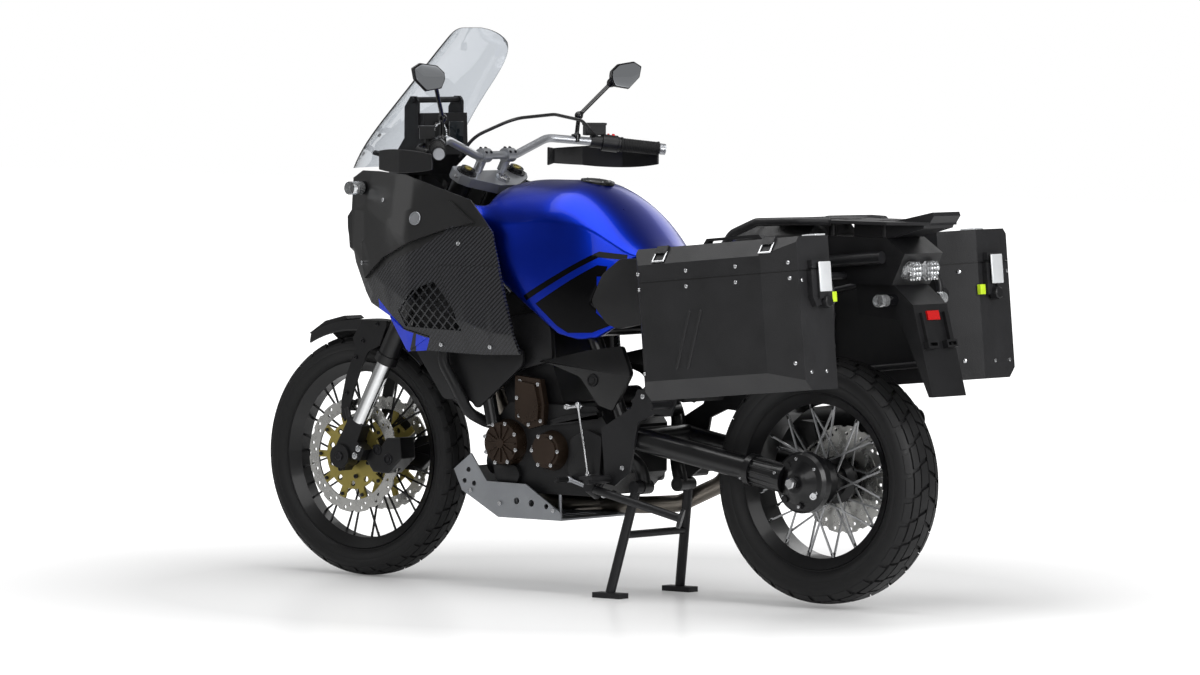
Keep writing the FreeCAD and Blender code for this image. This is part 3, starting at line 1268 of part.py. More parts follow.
cowl = new_body("cowl")
cowl_sections = []
for index, (place, half, low, high) in enumerate((
        ("cowl_front_x - 128", "cowl_half_width + 28", "850", "1096"),
        ("cowl_front_x - 60", "cowl_half_width - 4", "838", "1076"),
        ("cowl_front_x - 14", "cowl_half_width - 26", "846", "1040"),
        ("cowl_front_x", "cowl_half_width - 44", "862", "1008"))):
    cowl_sections.append(outline(cowl, "cowl_hoop_%d" % index, "YZ_Plane", [
        ("(%s) * 0.5" % half, high), (half, "(%s) - 60" % high), ("(%s) * 0.92" % half, "(%s) + 50" % low),
        ("(%s) * 0.3" % half, low), ("-(%s) * 0.3" % half, low), ("-(%s) * 0.92" % half, "(%s) + 50" % low),
        ("-(%s)" % half, "(%s) - 60" % high), ("-(%s) * 0.5" % half, high),
    ], place))
loft(cowl, "cowl_skin", cowl_sections, True)
LAMP_SHAPE = ((14, -32), (62, -38), (88, -6), (84, 28), (50, 34), (14, 10))


def lamp_outline(body, name, side, grow, offset):
    """The slanted outline of one headlamp, grown about its middle."""
    middle = 50
    corners = [("(%d) * (headlamp_spacing / 2 + %.3f)" % (side, (across - middle) * grow - 25),
                "headlamp_z + %.3f" % (up * grow)) for across, up in LAMP_SHAPE]
    return outline(body, name, "YZ_Plane", corners, offset)


for side in (1, -1):
    seat = lamp_outline(cowl, "lamp_seat_%s" % ("left" if side > 0 else "right"), side, 1.012, "cowl_front_x")
    pocket(cowl, seat.Name + "_cut", seat, "48")
doc.recompute()
node(trimmed("cowl_seated", trimmed("cowl_trimmed", cowl, finished("side_fairings")), finished("main_frame")),
     "nose_cowl")
lamp = new_body("lamp")
loft(lamp, "lamp_lens", [lamp_outline(lamp, "lamp_back", 1, 1, "cowl_front_x - 23.7"),
                         lamp_outline(lamp, "lamp_middle", 1, 1, "cowl_front_x"),
                         lamp_outline(lamp, "lamp_front", 1, 0.72, "cowl_front_x + 10")], True)
pair(lamp, "headlamps")


def screen_row(height, half, centre_x, sweep):
    """A crescent across the screen: two arcs a wall apart, closed at the edges."""
    wall = value("screen_wall")
    arcs = []
    for inset in (0, wall):
        arcs.append((Vector(centre_x - sweep - inset, half, height), Vector(centre_x - inset, 0, height),
                     Vector(centre_x - sweep - inset, -half, height)))
    front, back = arcs
    return Part.Wire([
        Part.Arc(*front).toShape(), Part.LineSegment(front[2], back[2]).toShape(),
        Part.Arc(*reversed(back)).toShape(), Part.LineSegment(back[0], front[0]).toShape(),
    ])


screen_low = value("screen_bottom_z")
screen_high = value("screen_top_z")
screen_half = value("screen_half_width")
screen_rows = []
for share, width, centre_x, sweep in ((0, 0.88, 770, 47), (0.3, 1.0, 690, 69), (0.65, 0.89, 575, 70),
                                      (0.87, 0.75, 500, 56), (1.0, 0.4, 458, 12)):
    screen_rows.append(screen_row(screen_low + share * (screen_high - screen_low), width * screen_half,
                                  centre_x, sweep))
node(feature("windscreen", Part.makeLoft(screen_rows, True)), "windscreen")

dash = new_body("dash")
dash_side = outline(dash, "dash_side", "XZ_Plane", [
    ("600", "dash_bottom_z"), ("664", "dash_bottom_z"), ("640", "1150"), ("560", "1262"), ("540", "1262"),
    ("536", "1150"),
])
pad(dash, "dash_pad", dash_side, "2 * dash_half_width")
doc.recompute()
arms = [Part.makeCylinder(7, value("dash_arm_length"),
                          places(("620", "(%d) * (dash_half_width - 24)" % sign, z_rule))[0],
                          Vector(1, 0, 0.2)) for sign in (1, -1) for z_rule in ("1130", "1200")]
plates = new_body("dash_plates")
plate_view = outline(plates, "dash_plate_view", "XZ_Plane", [
    ("604", "dash_bottom_z + 100"), ("556", "dash_bottom_z + 100"), ("556", "dash_bottom_z + 200"),
    ("566", "dash_bottom_z + 213"), ("584", "dash_bottom_z + 213"), ("604", "dash_bottom_z + 184"),
], "-dash_half_width - 2")
pad(plates, "dash_plate_pad", plate_view, "7")
doc.recompute()
dash_bar = Part.makeCylinder(8, 2 * value("dash_half_width") + 28, places(
    ("574", "-dash_half_width - 14", "dash_bottom_z + 203"))[0], SIDEWAYS)
right_plate = plates.Shape.mirror(Vector(), SIDEWAYS)
dash_shape = fused([dash.Shape, plates.Shape, right_plate, dash_bar] + arms).cut(finished("windscreen").Shape)
dash_shape = max(dash_shape.Solids, key=lambda solid: solid.Volume)
node(feature("instrument_panel", dash_shape), "instrument_panel")

radiator = new_body("radiator_core")
radiator_side = outline(radiator, "radiator_side", "XZ_Plane", [
    ("330", "fairing_bottom_z + 28"), ("478", "fairing_bottom_z + 28"), ("470", "820"), ("345", "820"),
], "-fairing_half_width + 62")
pad(radiator, "radiator_pad", radiator_side, "46")
radiator_lug = outline(radiator, "radiator_lug", "XZ_Plane", [
    ("332", "fairing_bottom_z + 58"), ("352", "fairing_bottom_z + 58"),
    ("352", "fairing_bottom_z + 108"), ("332", "fairing_bottom_z + 108"),
], "-frame_half_width - 32")
pad(radiator, "radiator_lug_pad", radiator_lug, "36")
node(trimmed("radiator_trimmed", radiator, finished("main_frame")), "radiator")

# Middle body: battery and air box under the seats, which the seats rest on
middle = new_body("middle")
middle_side = outline(middle, "middle_side", "XZ_Plane", [
    ("tank_rear_x - 6", "560"), ("tank_rear_x - 6", "seat_top_z - 76.3"),
    ("seat_rear_x + 16", "seat_top_z - 76.3"),
    ("seat_rear_x + 16", "seat_top_z - 150"), ("tank_rear_x - 120", "520"),
])
pad(middle, "middle_pad", middle_side, "2 * frame_half_width - 64")
node(trimmed("middle_seated", middle, rear_subframe), "middle_body")

# Tail: unit between the cases, rack on top, plate holder behind
tail = new_body("tail")
tail_side = outline(tail, "tail_side", "XZ_Plane", [
    ("pillion_front_x - 4", "pillion_top_z - 70.3"), ("pillion_rear_x - 2", "pillion_top_z - 70.3"),
    ("pillion_rear_x - 10", "pillion_top_z - 20"), ("tail_rear_x + 60", "pillion_top_z - 20"),
    ("tail_rear_x", "pillion_top_z - 60"), ("tail_rear_x + 40", "pillion_top_z - 142"),
    ("tail_rear_x + 160", "pillion_top_z - 142"), ("pillion_front_x - 4", "pillion_top_z - 110"),
])
pad(tail, "tail_pad", tail_side, "170")
node(trimmed("tail_trimmed", tail, rear_subframe), "tail_unit")

tail_lamp = new_body("tail_lamp")
lens_rows = []
for index, (share, back) in enumerate(((1.0, "tail_rear_x + 40"), (1.0, "tail_rear_x + 4"),
                                       (0.78, "tail_rear_x - 9"))):
    corners = [("37 + %.2f" % (across * share), "pillion_top_z - 105 + %.2f" % (up * share))
               for across, up in (
                   (-25, 14), (-18, 24), (18, 26), (30, 14), (22, -14), (-2, -27), (-25, -16))]
    lens_rows.append(outline(tail_lamp, "tail_lens_%d" % index, "YZ_Plane", corners, back))
loft(tail_lamp, "tail_lens", lens_rows, True)
doc.recompute()
holder_way = places(("plate_rear_x", "0", "plate_bottom_z"))[0] - places(("tail_rear_x - 20", "0",
                                                                         "pillion_top_z - 190"))[0]
holder_way.normalize()
holder_out = Vector(holder_way.z, 0, -holder_way.x)
holder_top = places(("tail_rear_x - 20", "0", "pillion_top_z - 190"))[0]


def on_holder(length, width, depth, down, across):
    """A block seated on the plate holder's rear face, a way down it and across it."""
    piece = Part.makeBox(length, width, depth, Vector(-length / 2, -width / 2, 0))
    piece.Placement = Placement(holder_top + holder_way * down + Vector(0, across, 0),
                                Rotation(holder_way, SIDEWAYS, holder_out, "ZXY"))
    return piece


lamp_pair = trimmed("tail_lamp_trimmed", tail_lamp, tail)
tail_lamps = doc.addObject("Part::Compound", "tail_lamp_set")
reflector = feature("reflector", on_holder(24, 52, 5, 30, 0))
tail_lamps.Links = [lamp_pair, mirror(lamp_pair, "tail_lamp_image"), reflector]
node(tail_lamps, "tail_lamps")

rack = new_body("rack")
rack_plan = outline(rack, "rack_plan", "XY_Plane", [
    ("rack_front_x", "rack_half_width - 20"), ("rack_front_x - 60", "rack_half_width"),
    ("rack_rear_x + 90", "rack_half_width - 10"), ("rack_rear_x", "60"), ("rack_rear_x", "-60"),
    ("rack_rear_x + 90", "10 - rack_half_width"), ("rack_front_x - 60", "-rack_half_width"),
    ("rack_front_x", "20 - rack_half_width"),
], "rack_top_z - rack_thickness")
pad(rack, "rack_pad", rack_plan, "rack_thickness", False)
rack_holes = rack.newObject("Sketcher::SketchObject", "rack_holes")
rack_holes.AttachmentSupport = [(origin_plane(rack, "XY_Plane"), "")]
rack_holes.MapMode = "FlatFace"
for index, (along, across) in enumerate(((1, 1), (1, -1), (-1, 1), (-1, -1))):
    x_rule = "rack_hole_x + (%d) * rack_hole_length / 2" % along
    y_rule = "(%d) * rack_hole_width / 2" % across
    ring = Part.Circle(Vector(value(x_rule), value(y_rule), 0), Vector(0, 0, 1), value("rack_hole_radius"))
    rack_holes.addGeometry(ring, False)
    for kind, rule in (("DistanceX", x_rule), ("DistanceY", y_rule)):
        tie = rack_holes.addConstraint(Sketcher.Constraint(kind, -1, 1, index, 3, value(rule)))
        rack_holes.setExpression("Constraints[%d]" % tie, bound(rule))
    tie = rack_holes.addConstraint(Sketcher.Constraint("Radius", index, value("rack_hole_radius")))
    rack_holes.setExpression("Constraints[%d]" % tie, bound("rack_hole_radius"))
doc.recompute()
pocket(rack, "rack_drilled", rack_holes, "4 * rack_top_z")
rack_legs = [cylinder("rack_leg", "9", "rack_top_z - rack_thickness - pillion_top_z + 20 + 1",
                      (x_rule, "(%d) * 60" % sign, "pillion_top_z - 20"))
             for x_rule in ("pillion_rear_x - 34", "tail_rear_x + 80") for sign in (1, -1)]
rack_lip = new_body("rack_lip")
lip_side = outline(rack_lip, "lip_side", "XZ_Plane", [
    ("rack_rear_x + 110", "rack_top_z"), ("rack_rear_x - 8", "rack_top_z + 26"),
    ("rack_rear_x - 12", "rack_top_z + 16"), ("rack_rear_x + 4", "rack_top_z - rack_thickness"),
    ("rack_rear_x + 110", "rack_top_z - rack_thickness"),
])
pad(rack_lip, "lip_pad", lip_side, "120")
keel_side = outline(rack_lip, "rack_keel_side", "XZ_Plane", [
    ("rack_front_x - 226", "rack_top_z - 4"), ("rack_rear_x + 12", "rack_top_z - 4"),
    ("rack_rear_x + 16", "rack_top_z - 16"), ("rack_rear_x + 110", "pillion_top_z - 19.7"),
    ("rack_front_x - 226", "pillion_top_z - 19.7"),
])
pad(rack_lip, "rack_keel_pad", keel_side, "132")
doc.recompute()
rail_y = value("pillion_half_width") + 17
grab_route = places(
    ("seat_rear_x - 58", "frame_half_width - 18", "pillion_top_z - 190"),
    ("seat_rear_x - 30", "%g" % rail_y, "pillion_top_z - 96"),
    ("seat_rear_x - 88", "%g" % rail_y, "rack_top_z - 42"),
    ("rack_front_x + 20", "%g" % rail_y, "rack_top_z - 10"),
    ("rack_front_x - 120", "%g" % rail_y, "rack_top_z - 4"),
    ("rack_front_x - 190", "rack_half_width - 16", "rack_top_z - 4"),
)
grab = tube(grab_route, 11, 40)
rack_slots = [Part.makeBox(26, 96, 60, places(("rack_hole_x + %d" % ahead, "-48", "rack_top_z - 8"))[0])
              for ahead in (96, 46, -72, -122)]
rack_shape = fused([rack.Shape.cut(rack_slots), rack_lip.Shape, grab, grab.mirror(Vector(), SIDEWAYS)]
                   + [leg.Shape for leg in rack_legs])
node(feature("rack_whole", rack_shape.cut([rear_subframe.Shape, finished("tail_unit").Shape])),
     "luggage_rack")

holder = new_body("holder")
holder_side = outline(holder, "holder_side", "XZ_Plane", [
    ("tail_rear_x + 160", "pillion_top_z - 142"), ("tail_rear_x + 40", "pillion_top_z - 142"),
    ("tail_rear_x - 20", "pillion_top_z - 190"), ("plate_rear_x", "plate_bottom_z"),
    ("plate_rear_x + 12", "plate_bottom_z"), ("tail_rear_x + 20", "pillion_top_z - 230"),
    ("tail_rear_x + 150", "pillion_top_z - 220"),
])
pad(holder, "holder_pad", holder_side, "150")
doc.recompute()
holder_pieces = [holder.Shape]
for across in (42, -42):
    loop = on_holder(20, 46, 16, 108, across).cut(on_holder(9, 34, 40, 108, across))
    holder_pieces.append(loop)
    holder_pieces.append(on_holder(96, 10, 9, 70, across * 1.2))
node(feature("holder_whole", fused(holder_pieces).cut(reflector.Shape)), "plate_holder")

rear_indicator = cylinder("rear_indicator", "16", "70", ("tail_rear_x + 40", "75.3", "pillion_top_z - 180"),
                          "Y")
front_indicator = cylinder("front_indicator", "18", "70",
                           ("cowl_front_x - 110", "fairing_half_width - 88", "1060"),
                           "Y")
indicator_set = doc.addObject("Part::Compound", "indicator_set")
indicator_set.Links = [rear_indicator, trimmed("front_indicator_clear", trimmed(
    "front_indicator_trimmed", front_indicator, fairing), finished("nose_cowl"))]
pair(indicator_set, "indicators")


# Cases: a lidded box each side, pitched tail-up, in its own frame from the front bottom corner
CASE_PLACE = ("case_front_x", "0", "case_bottom_z")
CASE_TURN = ((0, 1, 0), "case_pitch")
OUT = "case_outer_y"
INN = "case_inner_y"


def case_plan(inset):
    """The case's plan: the rear outer edge is a long facet and the other edges are chamfered."""
    return [
        ("-(%s)" % inset, "%s - 26 - (%s) * 0.4" % (OUT, inset)),
        ("-24", "%s - (%s)" % (OUT, inset)),
        ("100 - case_length", "%s - (%s)" % (OUT, inset)),
        ("(%s) - case_length" % inset, "%s - 24 - (%s)" % (OUT, inset)),
        ("(%s) - case_length" % inset, "%s + 66 + (%s) * 0.4" % (INN, inset)),
        ("78 - case_length", "%s + (%s)" % (INN, inset)),
        ("-22", "%s + (%s)" % (INN, inset)),
        ("-(%s)" % inset, "%s + 22 + (%s) * 0.4" % (INN, inset)),
    ]


LID_PLACE = ("case_front_x + (case_body_height + lid_gap) * sin(case_pitch)", "0",
             "case_bottom_z + (case_body_height + lid_gap) * cos(case_pitch)")
WALL = "case_wall"


def case_form(name, place, inset, low, high, bevel):
    """One closed form of a case or its lid: the plan between two heights, with its outer edge bevelled."""
    body = new_body(name, place, CASE_TURN)
    plan = outline(body, name + "_plan", "XY_Plane", case_plan(inset), low)
    pad(body, name + "_tall", plan, "(%s) - (%s)" % (high, low), False)
    edge = outline(body, name + "_edge", "YZ_Plane", bevel, "-case_length / 2")
    doc.recompute()
    pocket(body, name + "_bevel", edge, "case_length + 40")
    return body


def keel(inset):
    """The bevel along the case's lower outer edge, moved in by the wall for the inside."""
    drop = "(%s) * 1.4142" % inset
    return [(OUT + " + 1", "-1"), (OUT + " - case_keel - 1 - " + drop, "-1"),
            (OUT + " + 1", "case_keel + 1 + " + drop)]


def crown(inset):
    """The bevel along the lid's upper outer edge, moved in by the wall for the inside."""
    slope = "(lid_bevel_drop / lid_bevel_width)"
    drop = "(%s) * sqrt(lid_bevel_drop ^ 2 + lid_bevel_width ^ 2) / lid_bevel_width" % inset
    return [(OUT + " + 1", "case_lid_height + 1"),
            (OUT + " + 1", "case_lid_height - lid_bevel_drop - %s - %s" % (slope, drop)),
            (OUT + " - (lid_bevel_drop + 1 + %s) / %s" % (drop, slope), "case_lid_height + 1")]


def hollowed(name, outer, inner):
    """A shell: the outer form less the inner one."""
    shell = doc.addObject("Part::Cut", name)
    shell.Base = outer
    shell.Tool = inner
    return shell


case_shell = hollowed(
    "case_shell",
    case_form("case_outer", CASE_PLACE, "0", "0", "case_body_height", keel("0")),
    case_form("case_inner", CASE_PLACE, WALL, WALL, "case_body_height + 2", keel(WALL)))
lid_shell = hollowed(
    "lid_shell",
    case_form("lid_outer", LID_PLACE, "0", "0", "case_lid_height", crown("0")),
    case_form("lid_inner", LID_PLACE, WALL, "-2", "case_lid_height - case_wall", crown(WALL)))
# Latch, carrying handle and hinge eyelets, in the case's own frame
def fitting(name, place, corners, depth, offset, role="YZ_Plane"):
    """A small fitting drawn in the case's frame and padded to one side."""
    body = new_body(name, place, CASE_TURN)
    view = outline(body, name + "_view", role, corners, offset)
    pad(body, name + "_pad", view, depth)
    return body


latch_in = INN + " + 84"
latch_out = INN + " + 168"
rear_edge = "-case_length - %g"
case_latch = fitting("case_latch", CASE_PLACE, [
    (latch_in, "case_body_height - 84"), (latch_out + " - 14", "case_body_height - 96"),
    (latch_out, "case_body_height - 70"), (latch_out, "case_body_height - 1"),
    (latch_in, "case_body_height - 1"),
], "18", rear_edge % 6)
case_catch = fitting("case_catch", CASE_PLACE, [
    (latch_in + " + 34", "case_body_height - 76"), (latch_in + " + 62", "case_body_height - 76"),
    (latch_in + " + 62", "case_body_height - 3"), (latch_in + " + 34", "case_body_height - 3"),
], "8", rear_edge % 18)
lid_latch = fitting("lid_latch", LID_PLACE, [
    (latch_in + " + 6", "1"), (latch_out + " - 6", "1"), (latch_out + " - 6", "22"),
    (latch_in + " + 6", "22"),
], "16", rear_edge % 6)
handle = fitting("lid_handle", LID_PLACE, [
    ("-150", "case_lid_height - 1"), ("-164", "case_lid_height + 15"), ("-330", "case_lid_height + 15"),
    ("-344", "case_lid_height - 1"), ("-330", "case_lid_height - 1"), ("-324", "case_lid_height + 8"),
    ("-170", "case_lid_height + 8"), ("-164", "case_lid_height - 1"),
], "22", "-(case_outer_y + case_inner_y) / 2 + 10", "XZ_Plane")
eyelets = []
for index, along in enumerate(("-86", "100 - case_length - 14")):
    eyelets.append(fitting("eyelet_%d" % index, LID_PLACE, [
        (OUT + " - lid_bevel_width - 10", "case_lid_height - 2"),
        (OUT + " - lid_bevel_width + 6", "case_lid_height + 4"),
        (OUT + " - lid_bevel_width + 20", "case_lid_height - 14"),
        (OUT + " - lid_bevel_width + 8", "case_lid_height - 16"),
    ], "36", along))
case_whole = doc.addObject("Part::MultiFuse", "case_whole")
case_whole.Shapes = [case_shell, case_latch, case_catch]
lid_whole = doc.addObject("Part::MultiFuse", "lid_whole")
lid_whole.Shapes = [lid_shell, lid_latch, handle] + eyelets
doc.recompute()
case_left = feature("case_left", case_whole.Shape.cut(finished("rear_subframe").Shape))
node(case_left, "left_case")
node(lid_whole, "left_lid")
node(mirror(case_left, "right_case"), "right_case")
node(mirror(lid_whole, "right_lid"), "right_lid")


# Rear arm: shaft tube on the left, plain arm on the right, with the final drive at the axle
arm_r = value("arm_tube_radius")
axle_left = places(("rear_axle_x", "arm_tube_y", "rear_axle_z"))[0]
pivot_left = places(("pivot_x", "arm_tube_y", "pivot_z"))[0]
shaft_way = (axle_left - pivot_left).normalize()
shaft_length = (axle_left - pivot_left).Length - value("drive_housing_radius")
shaft_tube = Part.makeCylinder(arm_r, shaft_length, pivot_left, shaft_way)
right_arm = Part.makeCylinder(22, (axle_left - pivot_left).Length,
                              pivot_left - Vector(0, 2 * value("arm_tube_y"), 0),
                              shaft_way)
right_lug = Part.makeCylinder(34, 32, places(("rear_axle_x", "-arm_tube_y - 16", "rear_axle_z"))[0],
                              Vector(0, 1, 0))
arm_shape = fused([shaft_tube, pivot_bar, right_arm, right_lug])

drive = new_body("drive", ("rear_axle_x", "arm_tube_y - 40", "rear_axle_z"))
drive_section = outline(drive, "drive_section", "XY_Plane", [
    ("0", "0"), ("drive_housing_radius - 22", "0"), ("drive_housing_radius", "14"),
    ("drive_housing_radius", "drive_housing_depth - 30"),
    ("drive_housing_radius - 7", "drive_housing_depth - 20"),
    ("drive_housing_radius - 22", "drive_housing_depth - 18"), ("34", "drive_housing_depth - 3"),
    ("26", "drive_housing_depth"), ("17", "drive_housing_depth"), ("17", "drive_housing_depth + 9"),
    ("0", "drive_housing_depth + 9"),
])
revolve(drive, "drive_turned", drive_section)
doc.recompute()
rear_axle = cylinder("rear_axle", "axle_radius", "2 * arm_tube_y - 24",
                     ("rear_axle_x", "0", "rear_axle_z"), "Y", "-arm_tube_y - 10")
# A ribbed boot over the shaft's joint, and the ring that clamps it
boot_r = value("boot_radius")
boot_end = axle_left - shaft_way * (value("drive_housing_radius") - 34)
boot_start = boot_end - shaft_way * value("boot_length")
boot_pieces = [Part.makeCone(boot_r - 5, boot_r - 1, value("boot_length"), boot_start, shaft_way),
               Part.makeCylinder(boot_r + 3, 18, boot_start, shaft_way)]
rib_count = int(value("boot_ribs"))
rib_side = shaft_way.cross(SIDEWAYS).normalize()
for index in range(rib_count):
    turn = 2 * math.pi * index / rib_count
    out = SIDEWAYS * math.cos(turn) + rib_side * math.sin(turn)
    rib = Part.makeCylinder(3.2, value("boot_length") - 6, boot_start + shaft_way * 6 + out * (boot_r - 4),
                            shaft_way)
    boot_pieces.append(rib)
cap_places = ((0.42, 0.52, 11), (0.5, -0.55, 9), (-0.1, -0.75, 7))
housing_r = value("drive_housing_radius")
for along, up, radius in cap_places:
    cap_at = axle_left + Vector(along * housing_r, value("drive_housing_depth") - 64, up * housing_r)
    boot_pieces.append(Part.makeCylinder(radius, 14, cap_at, SIDEWAYS))
boot_shape = fused(boot_pieces)
final_drive = fuse("final_drive", [drive, rear_axle, feature("drive_boot", boot_shape)])
doc.recompute()
node(feature("swingarm", arm_shape.cut(final_drive.Shape)), "swingarm")

rear_caliper = new_body("rear_brake", ("rear_axle_x", "rear_disc_y", "rear_axle_z"))
rear_caliper_side = outline(rear_caliper, "rear_caliper_side", "XZ_Plane", [
    ("70", "100"), ("110", "70"), ("150", "96"), ("120", "150"), ("80", "146"),
])
pad(rear_caliper, "rear_caliper_pad", rear_caliper_side, "52")
bracket = outline(rear_caliper, "rear_caliper_bracket", "XZ_Plane", [
    ("84", "14"), ("134", "14"), ("128", "100"), ("84", "104"),
], "(arm_tube_y + rear_disc_y) / 2 + 4")
pad(rear_caliper, "rear_bracket_pad", bracket, "arm_tube_y + rear_disc_y - 34")
doc.recompute()
caliper_cut = slotted("rear_caliper_cut", rear_caliper, "rear_disc_radius",
                      ("rear_axle_x", "rear_disc_y", "rear_axle_z"))
node(trimmed("rear_caliper_trimmed", caliper_cut, finished("swingarm")), "rear_caliper")

# Exhaust: two headers down the front of the engine, a collector and the silencer on the right
pipe_r = value("pipe_radius")
headers = []
for y_start, y_end in ((62, -48), (-62, -96)):
    headers.append(tube(places(
        ("head_top_x + 44", str(y_start), "head_top_z - 82"),
        ("head_top_x + 108", str(y_start), "head_top_z - 104"),
        ("head_top_x + 88", str(y_end), "engine_top_z - 60"),
        ("engine_front_x + 48", str(y_end), "pipe_height + 76"),
        ("engine_front_x - 60", str(y_end), "pipe_height"),
        ("60", "-96", "pipe_height"),
    ), pipe_r, 50))
link = tube(places(
    ("80", "-96", "pipe_height"), ("-60", "-100", "pipe_height"), ("-150", "-150", "pipe_height + 6"),
    ("-250", "-206", "pipe_height + 62"),
    ("muffler_start_x + 60", "muffler_y + 6", "muffler_z - 30"),
    ("muffler_start_x", "muffler_y", "muffler_z"),
), pipe_r + 2, 60)
muffler_start = places(("muffler_start_x", "muffler_y", "muffler_z"))[0]
muffler_pitch = math.radians(value("muffler_pitch"))
muffler_way = Vector(-math.cos(muffler_pitch), 0.019, math.sin(muffler_pitch)).normalize()
can_r = value("muffler_radius")
can_length = value("muffler_length")
muffler_shape = fused([
    Part.makeCone(value("pipe_radius") + 6, can_r, 84, muffler_start, muffler_way),
    Part.makeCylinder(can_r, can_length - 130, muffler_start + muffler_way * 84, muffler_way),
    Part.makeCylinder(can_r + 2.5, 16, muffler_start + muffler_way * 84, muffler_way),
    Part.makeCylinder(can_r + 2.5, 16, muffler_start + muffler_way * (can_length - 62), muffler_way),
    Part.makeCone(can_r, can_r - 16, 46, muffler_start + muffler_way * (can_length - 46), muffler_way),
    Part.makeCylinder(24, 30, muffler_start + muffler_way * (can_length - 6), muffler_way),
])
muffler_shape = muffler_shape.cut(Part.makeCylinder(20, 60, muffler_start + muffler_way * (can_length - 30),
                                                    muffler_way))
pipes_shape = fused(headers + [link])
node(feature("exhaust_pipes", pipes_shape.cut([muffler_shape, engine.Shape])), "exhaust_pipes")
node(feature("muffler", muffler_shape), "muffler")

# Footrests on brackets at the frame, both sides
rest_y = "arm_tube_y + arm_tube_radius + 5"
rest_plates = new_body("footrest_plate", ("0", rest_y, "0"))
plate_side = outline(rest_plates, "footrest_plate_side", "XZ_Plane", [
    ("pivot_x + 72", "pivot_z + 22"), ("pivot_x - 26", "pivot_z + 78"), ("pivot_x - 46", "pivot_z + 128"),
    ("pivot_x - 156", "pivot_z + 132"), ("pivot_x - 174", "pivot_z + 108"), ("pivot_x - 156", "pivot_z + 62"),
    ("pivot_x - 104", "pivot_z + 66"), ("pivot_x - 50", "pivot_z + 42"), ("pivot_x - 22", "pivot_z - 92"),
    ("pivot_x + 26", "pivot_z - 128"), ("pivot_x + 56", "pivot_z - 124"), ("pivot_x + 62", "pivot_z - 76"),
])
pad(rest_plates, "footrest_plate_pad", plate_side, "8")
boss_start = "frame_half_width + 8"
boss_length = "arm_tube_y + arm_tube_radius + 5 - frame_half_width - 8"
rest_pieces = [rest_plates]
for name, x_rule, z_rule in (("high_boss", "pivot_x + 42", "pivot_z + 26"),
                             ("low_boss", "pivot_x + 36", "pivot_z - 30")):
    rest_pieces.append(cylinder(name, "11", boss_length, (x_rule, boss_start, z_rule), "Y"))
rest_pieces.append(cylinder("peg", "9", "104", ("pivot_x + 44", rest_y, "pivot_z - 112"), "Y"))
tread = doc.addObject("Part::Box", "peg_tread")
for side_name, rule in (("Length", "42"), ("Width", "84"), ("Height", "9"),
                        ("Placement.Base.x", "pivot_x + 23"),
                        ("Placement.Base.y", rest_y + " + 22"), ("Placement.Base.z", "pivot_z - 109")):
    tread.setExpression(side_name, bound(rule))
rest_pieces.append(tread)
rest_pieces.append(cylinder("rear_peg", "10", "88", ("pivot_x - 152", rest_y, "pivot_z + 92"), "Y"))
doc.recompute()
pegs_left = doc.addObject("Part::MultiFuse", "pegs_left")
pegs_left.Shapes = rest_pieces
pair(trimmed("pegs_seated", trimmed("pegs_trimmed", pegs_left, finished("swingarm")), finished("main_frame")),
     "footrests")

# Stands: the deployed centre stand and the folded side stand
stand_r = value("stand_tube_radius")
foot_point = places(("stand_foot_x", "stand_foot_y", "stand_tube_radius"))[0]
knuckle_y = value("stand_boss_y + frame_tube_radius + 0.3")
pivot_point = Vector(value("stand_pivot_x"), knuckle_y + stand_r + 1, value("stand_pivot_z"))
leg = tube([pivot_point, foot_point], stand_r)
pad_foot = Part.makeBox(90, 40, 14, Vector(foot_point.x - 45, foot_point.y - 20, 0))
knuckle_start = Vector(pivot_point.x, knuckle_y, pivot_point.z)
knuckle = Part.makeCylinder(stand_r + 4, 2 * stand_r + 2, knuckle_start, SIDEWAYS)
pin = Part.makeCylinder(value("stand_pin_radius"), 2 * value("frame_tube_radius") + 1,
                        knuckle_start + SIDEWAYS, -SIDEWAYS)
leg = leg.fuse([knuckle, pin])
half_stand = leg.cut(Part.makeBox(400, 400, 100, Vector(foot_point.x - 200, 0, -100))).fuse(pad_foot)
other_half = half_stand.mirror(Vector(), Vector(0, 1, 0))
brace_at = pivot_point + (foot_point - pivot_point) * 0.45
brace = Part.makeCylinder(stand_r - 3, 2 * brace_at.y, Vector(brace_at.x, -brace_at.y, brace_at.z),
                          Vector(0, 1, 0))
node(feature("centre_stand", fused([half_stand, other_half, brace])), "centre_stand")

prop_end = prop_start + folded_way * value("prop_length")
prop_leg = tube([prop_start - swing_axis * 12, prop_end], stand_r - 2)
prop_knuckle = Part.makeCylinder(16, 24, prop_start, -swing_axis)
prop_pin = Part.makeCylinder(6, 17, prop_start - swing_axis, swing_axis)
foot_up = Rotation(swing_axis, -swing_angle).multVec(Vector(0, 0, 1))
prop_foot = Part.makeCylinder(26, 9, prop_end - foot_up * 5, foot_up)
node(feature("side_stand", fused([prop_leg, prop_knuckle, prop_pin, prop_foot])), "side_stand")

# Check the document, then write each sub-part
doc.recompute()
faults = [item.Name for item in doc.Objects if "Invalid" in item.State or "Error" in item.State]
faults += [item.Label for item in NODES if item.Shape.isNull() or not item.Shape.isValid()]
if faults:
    raise RuntimeError("failed: " + ", ".join(faults))
for item in NODES:
    item.Shape.exportStep("parts/%s.step" % item.Label)
print(len(NODES), "sub-parts written")
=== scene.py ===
# %% [markdown]
# # An adventure motorcycle with side cases
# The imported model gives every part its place, so this file only dresses it.
# It puts up the camera and the light, then mixes the finishes, and then models the small forms
# that a studio picture of such a machine shows. Lengths are metres unless a line says millimetres.

# %% Load the frame
import math

import bmesh
import bpy
from mathutils import Matrix, Vector
from mathutils.bvhtree import BVHTree


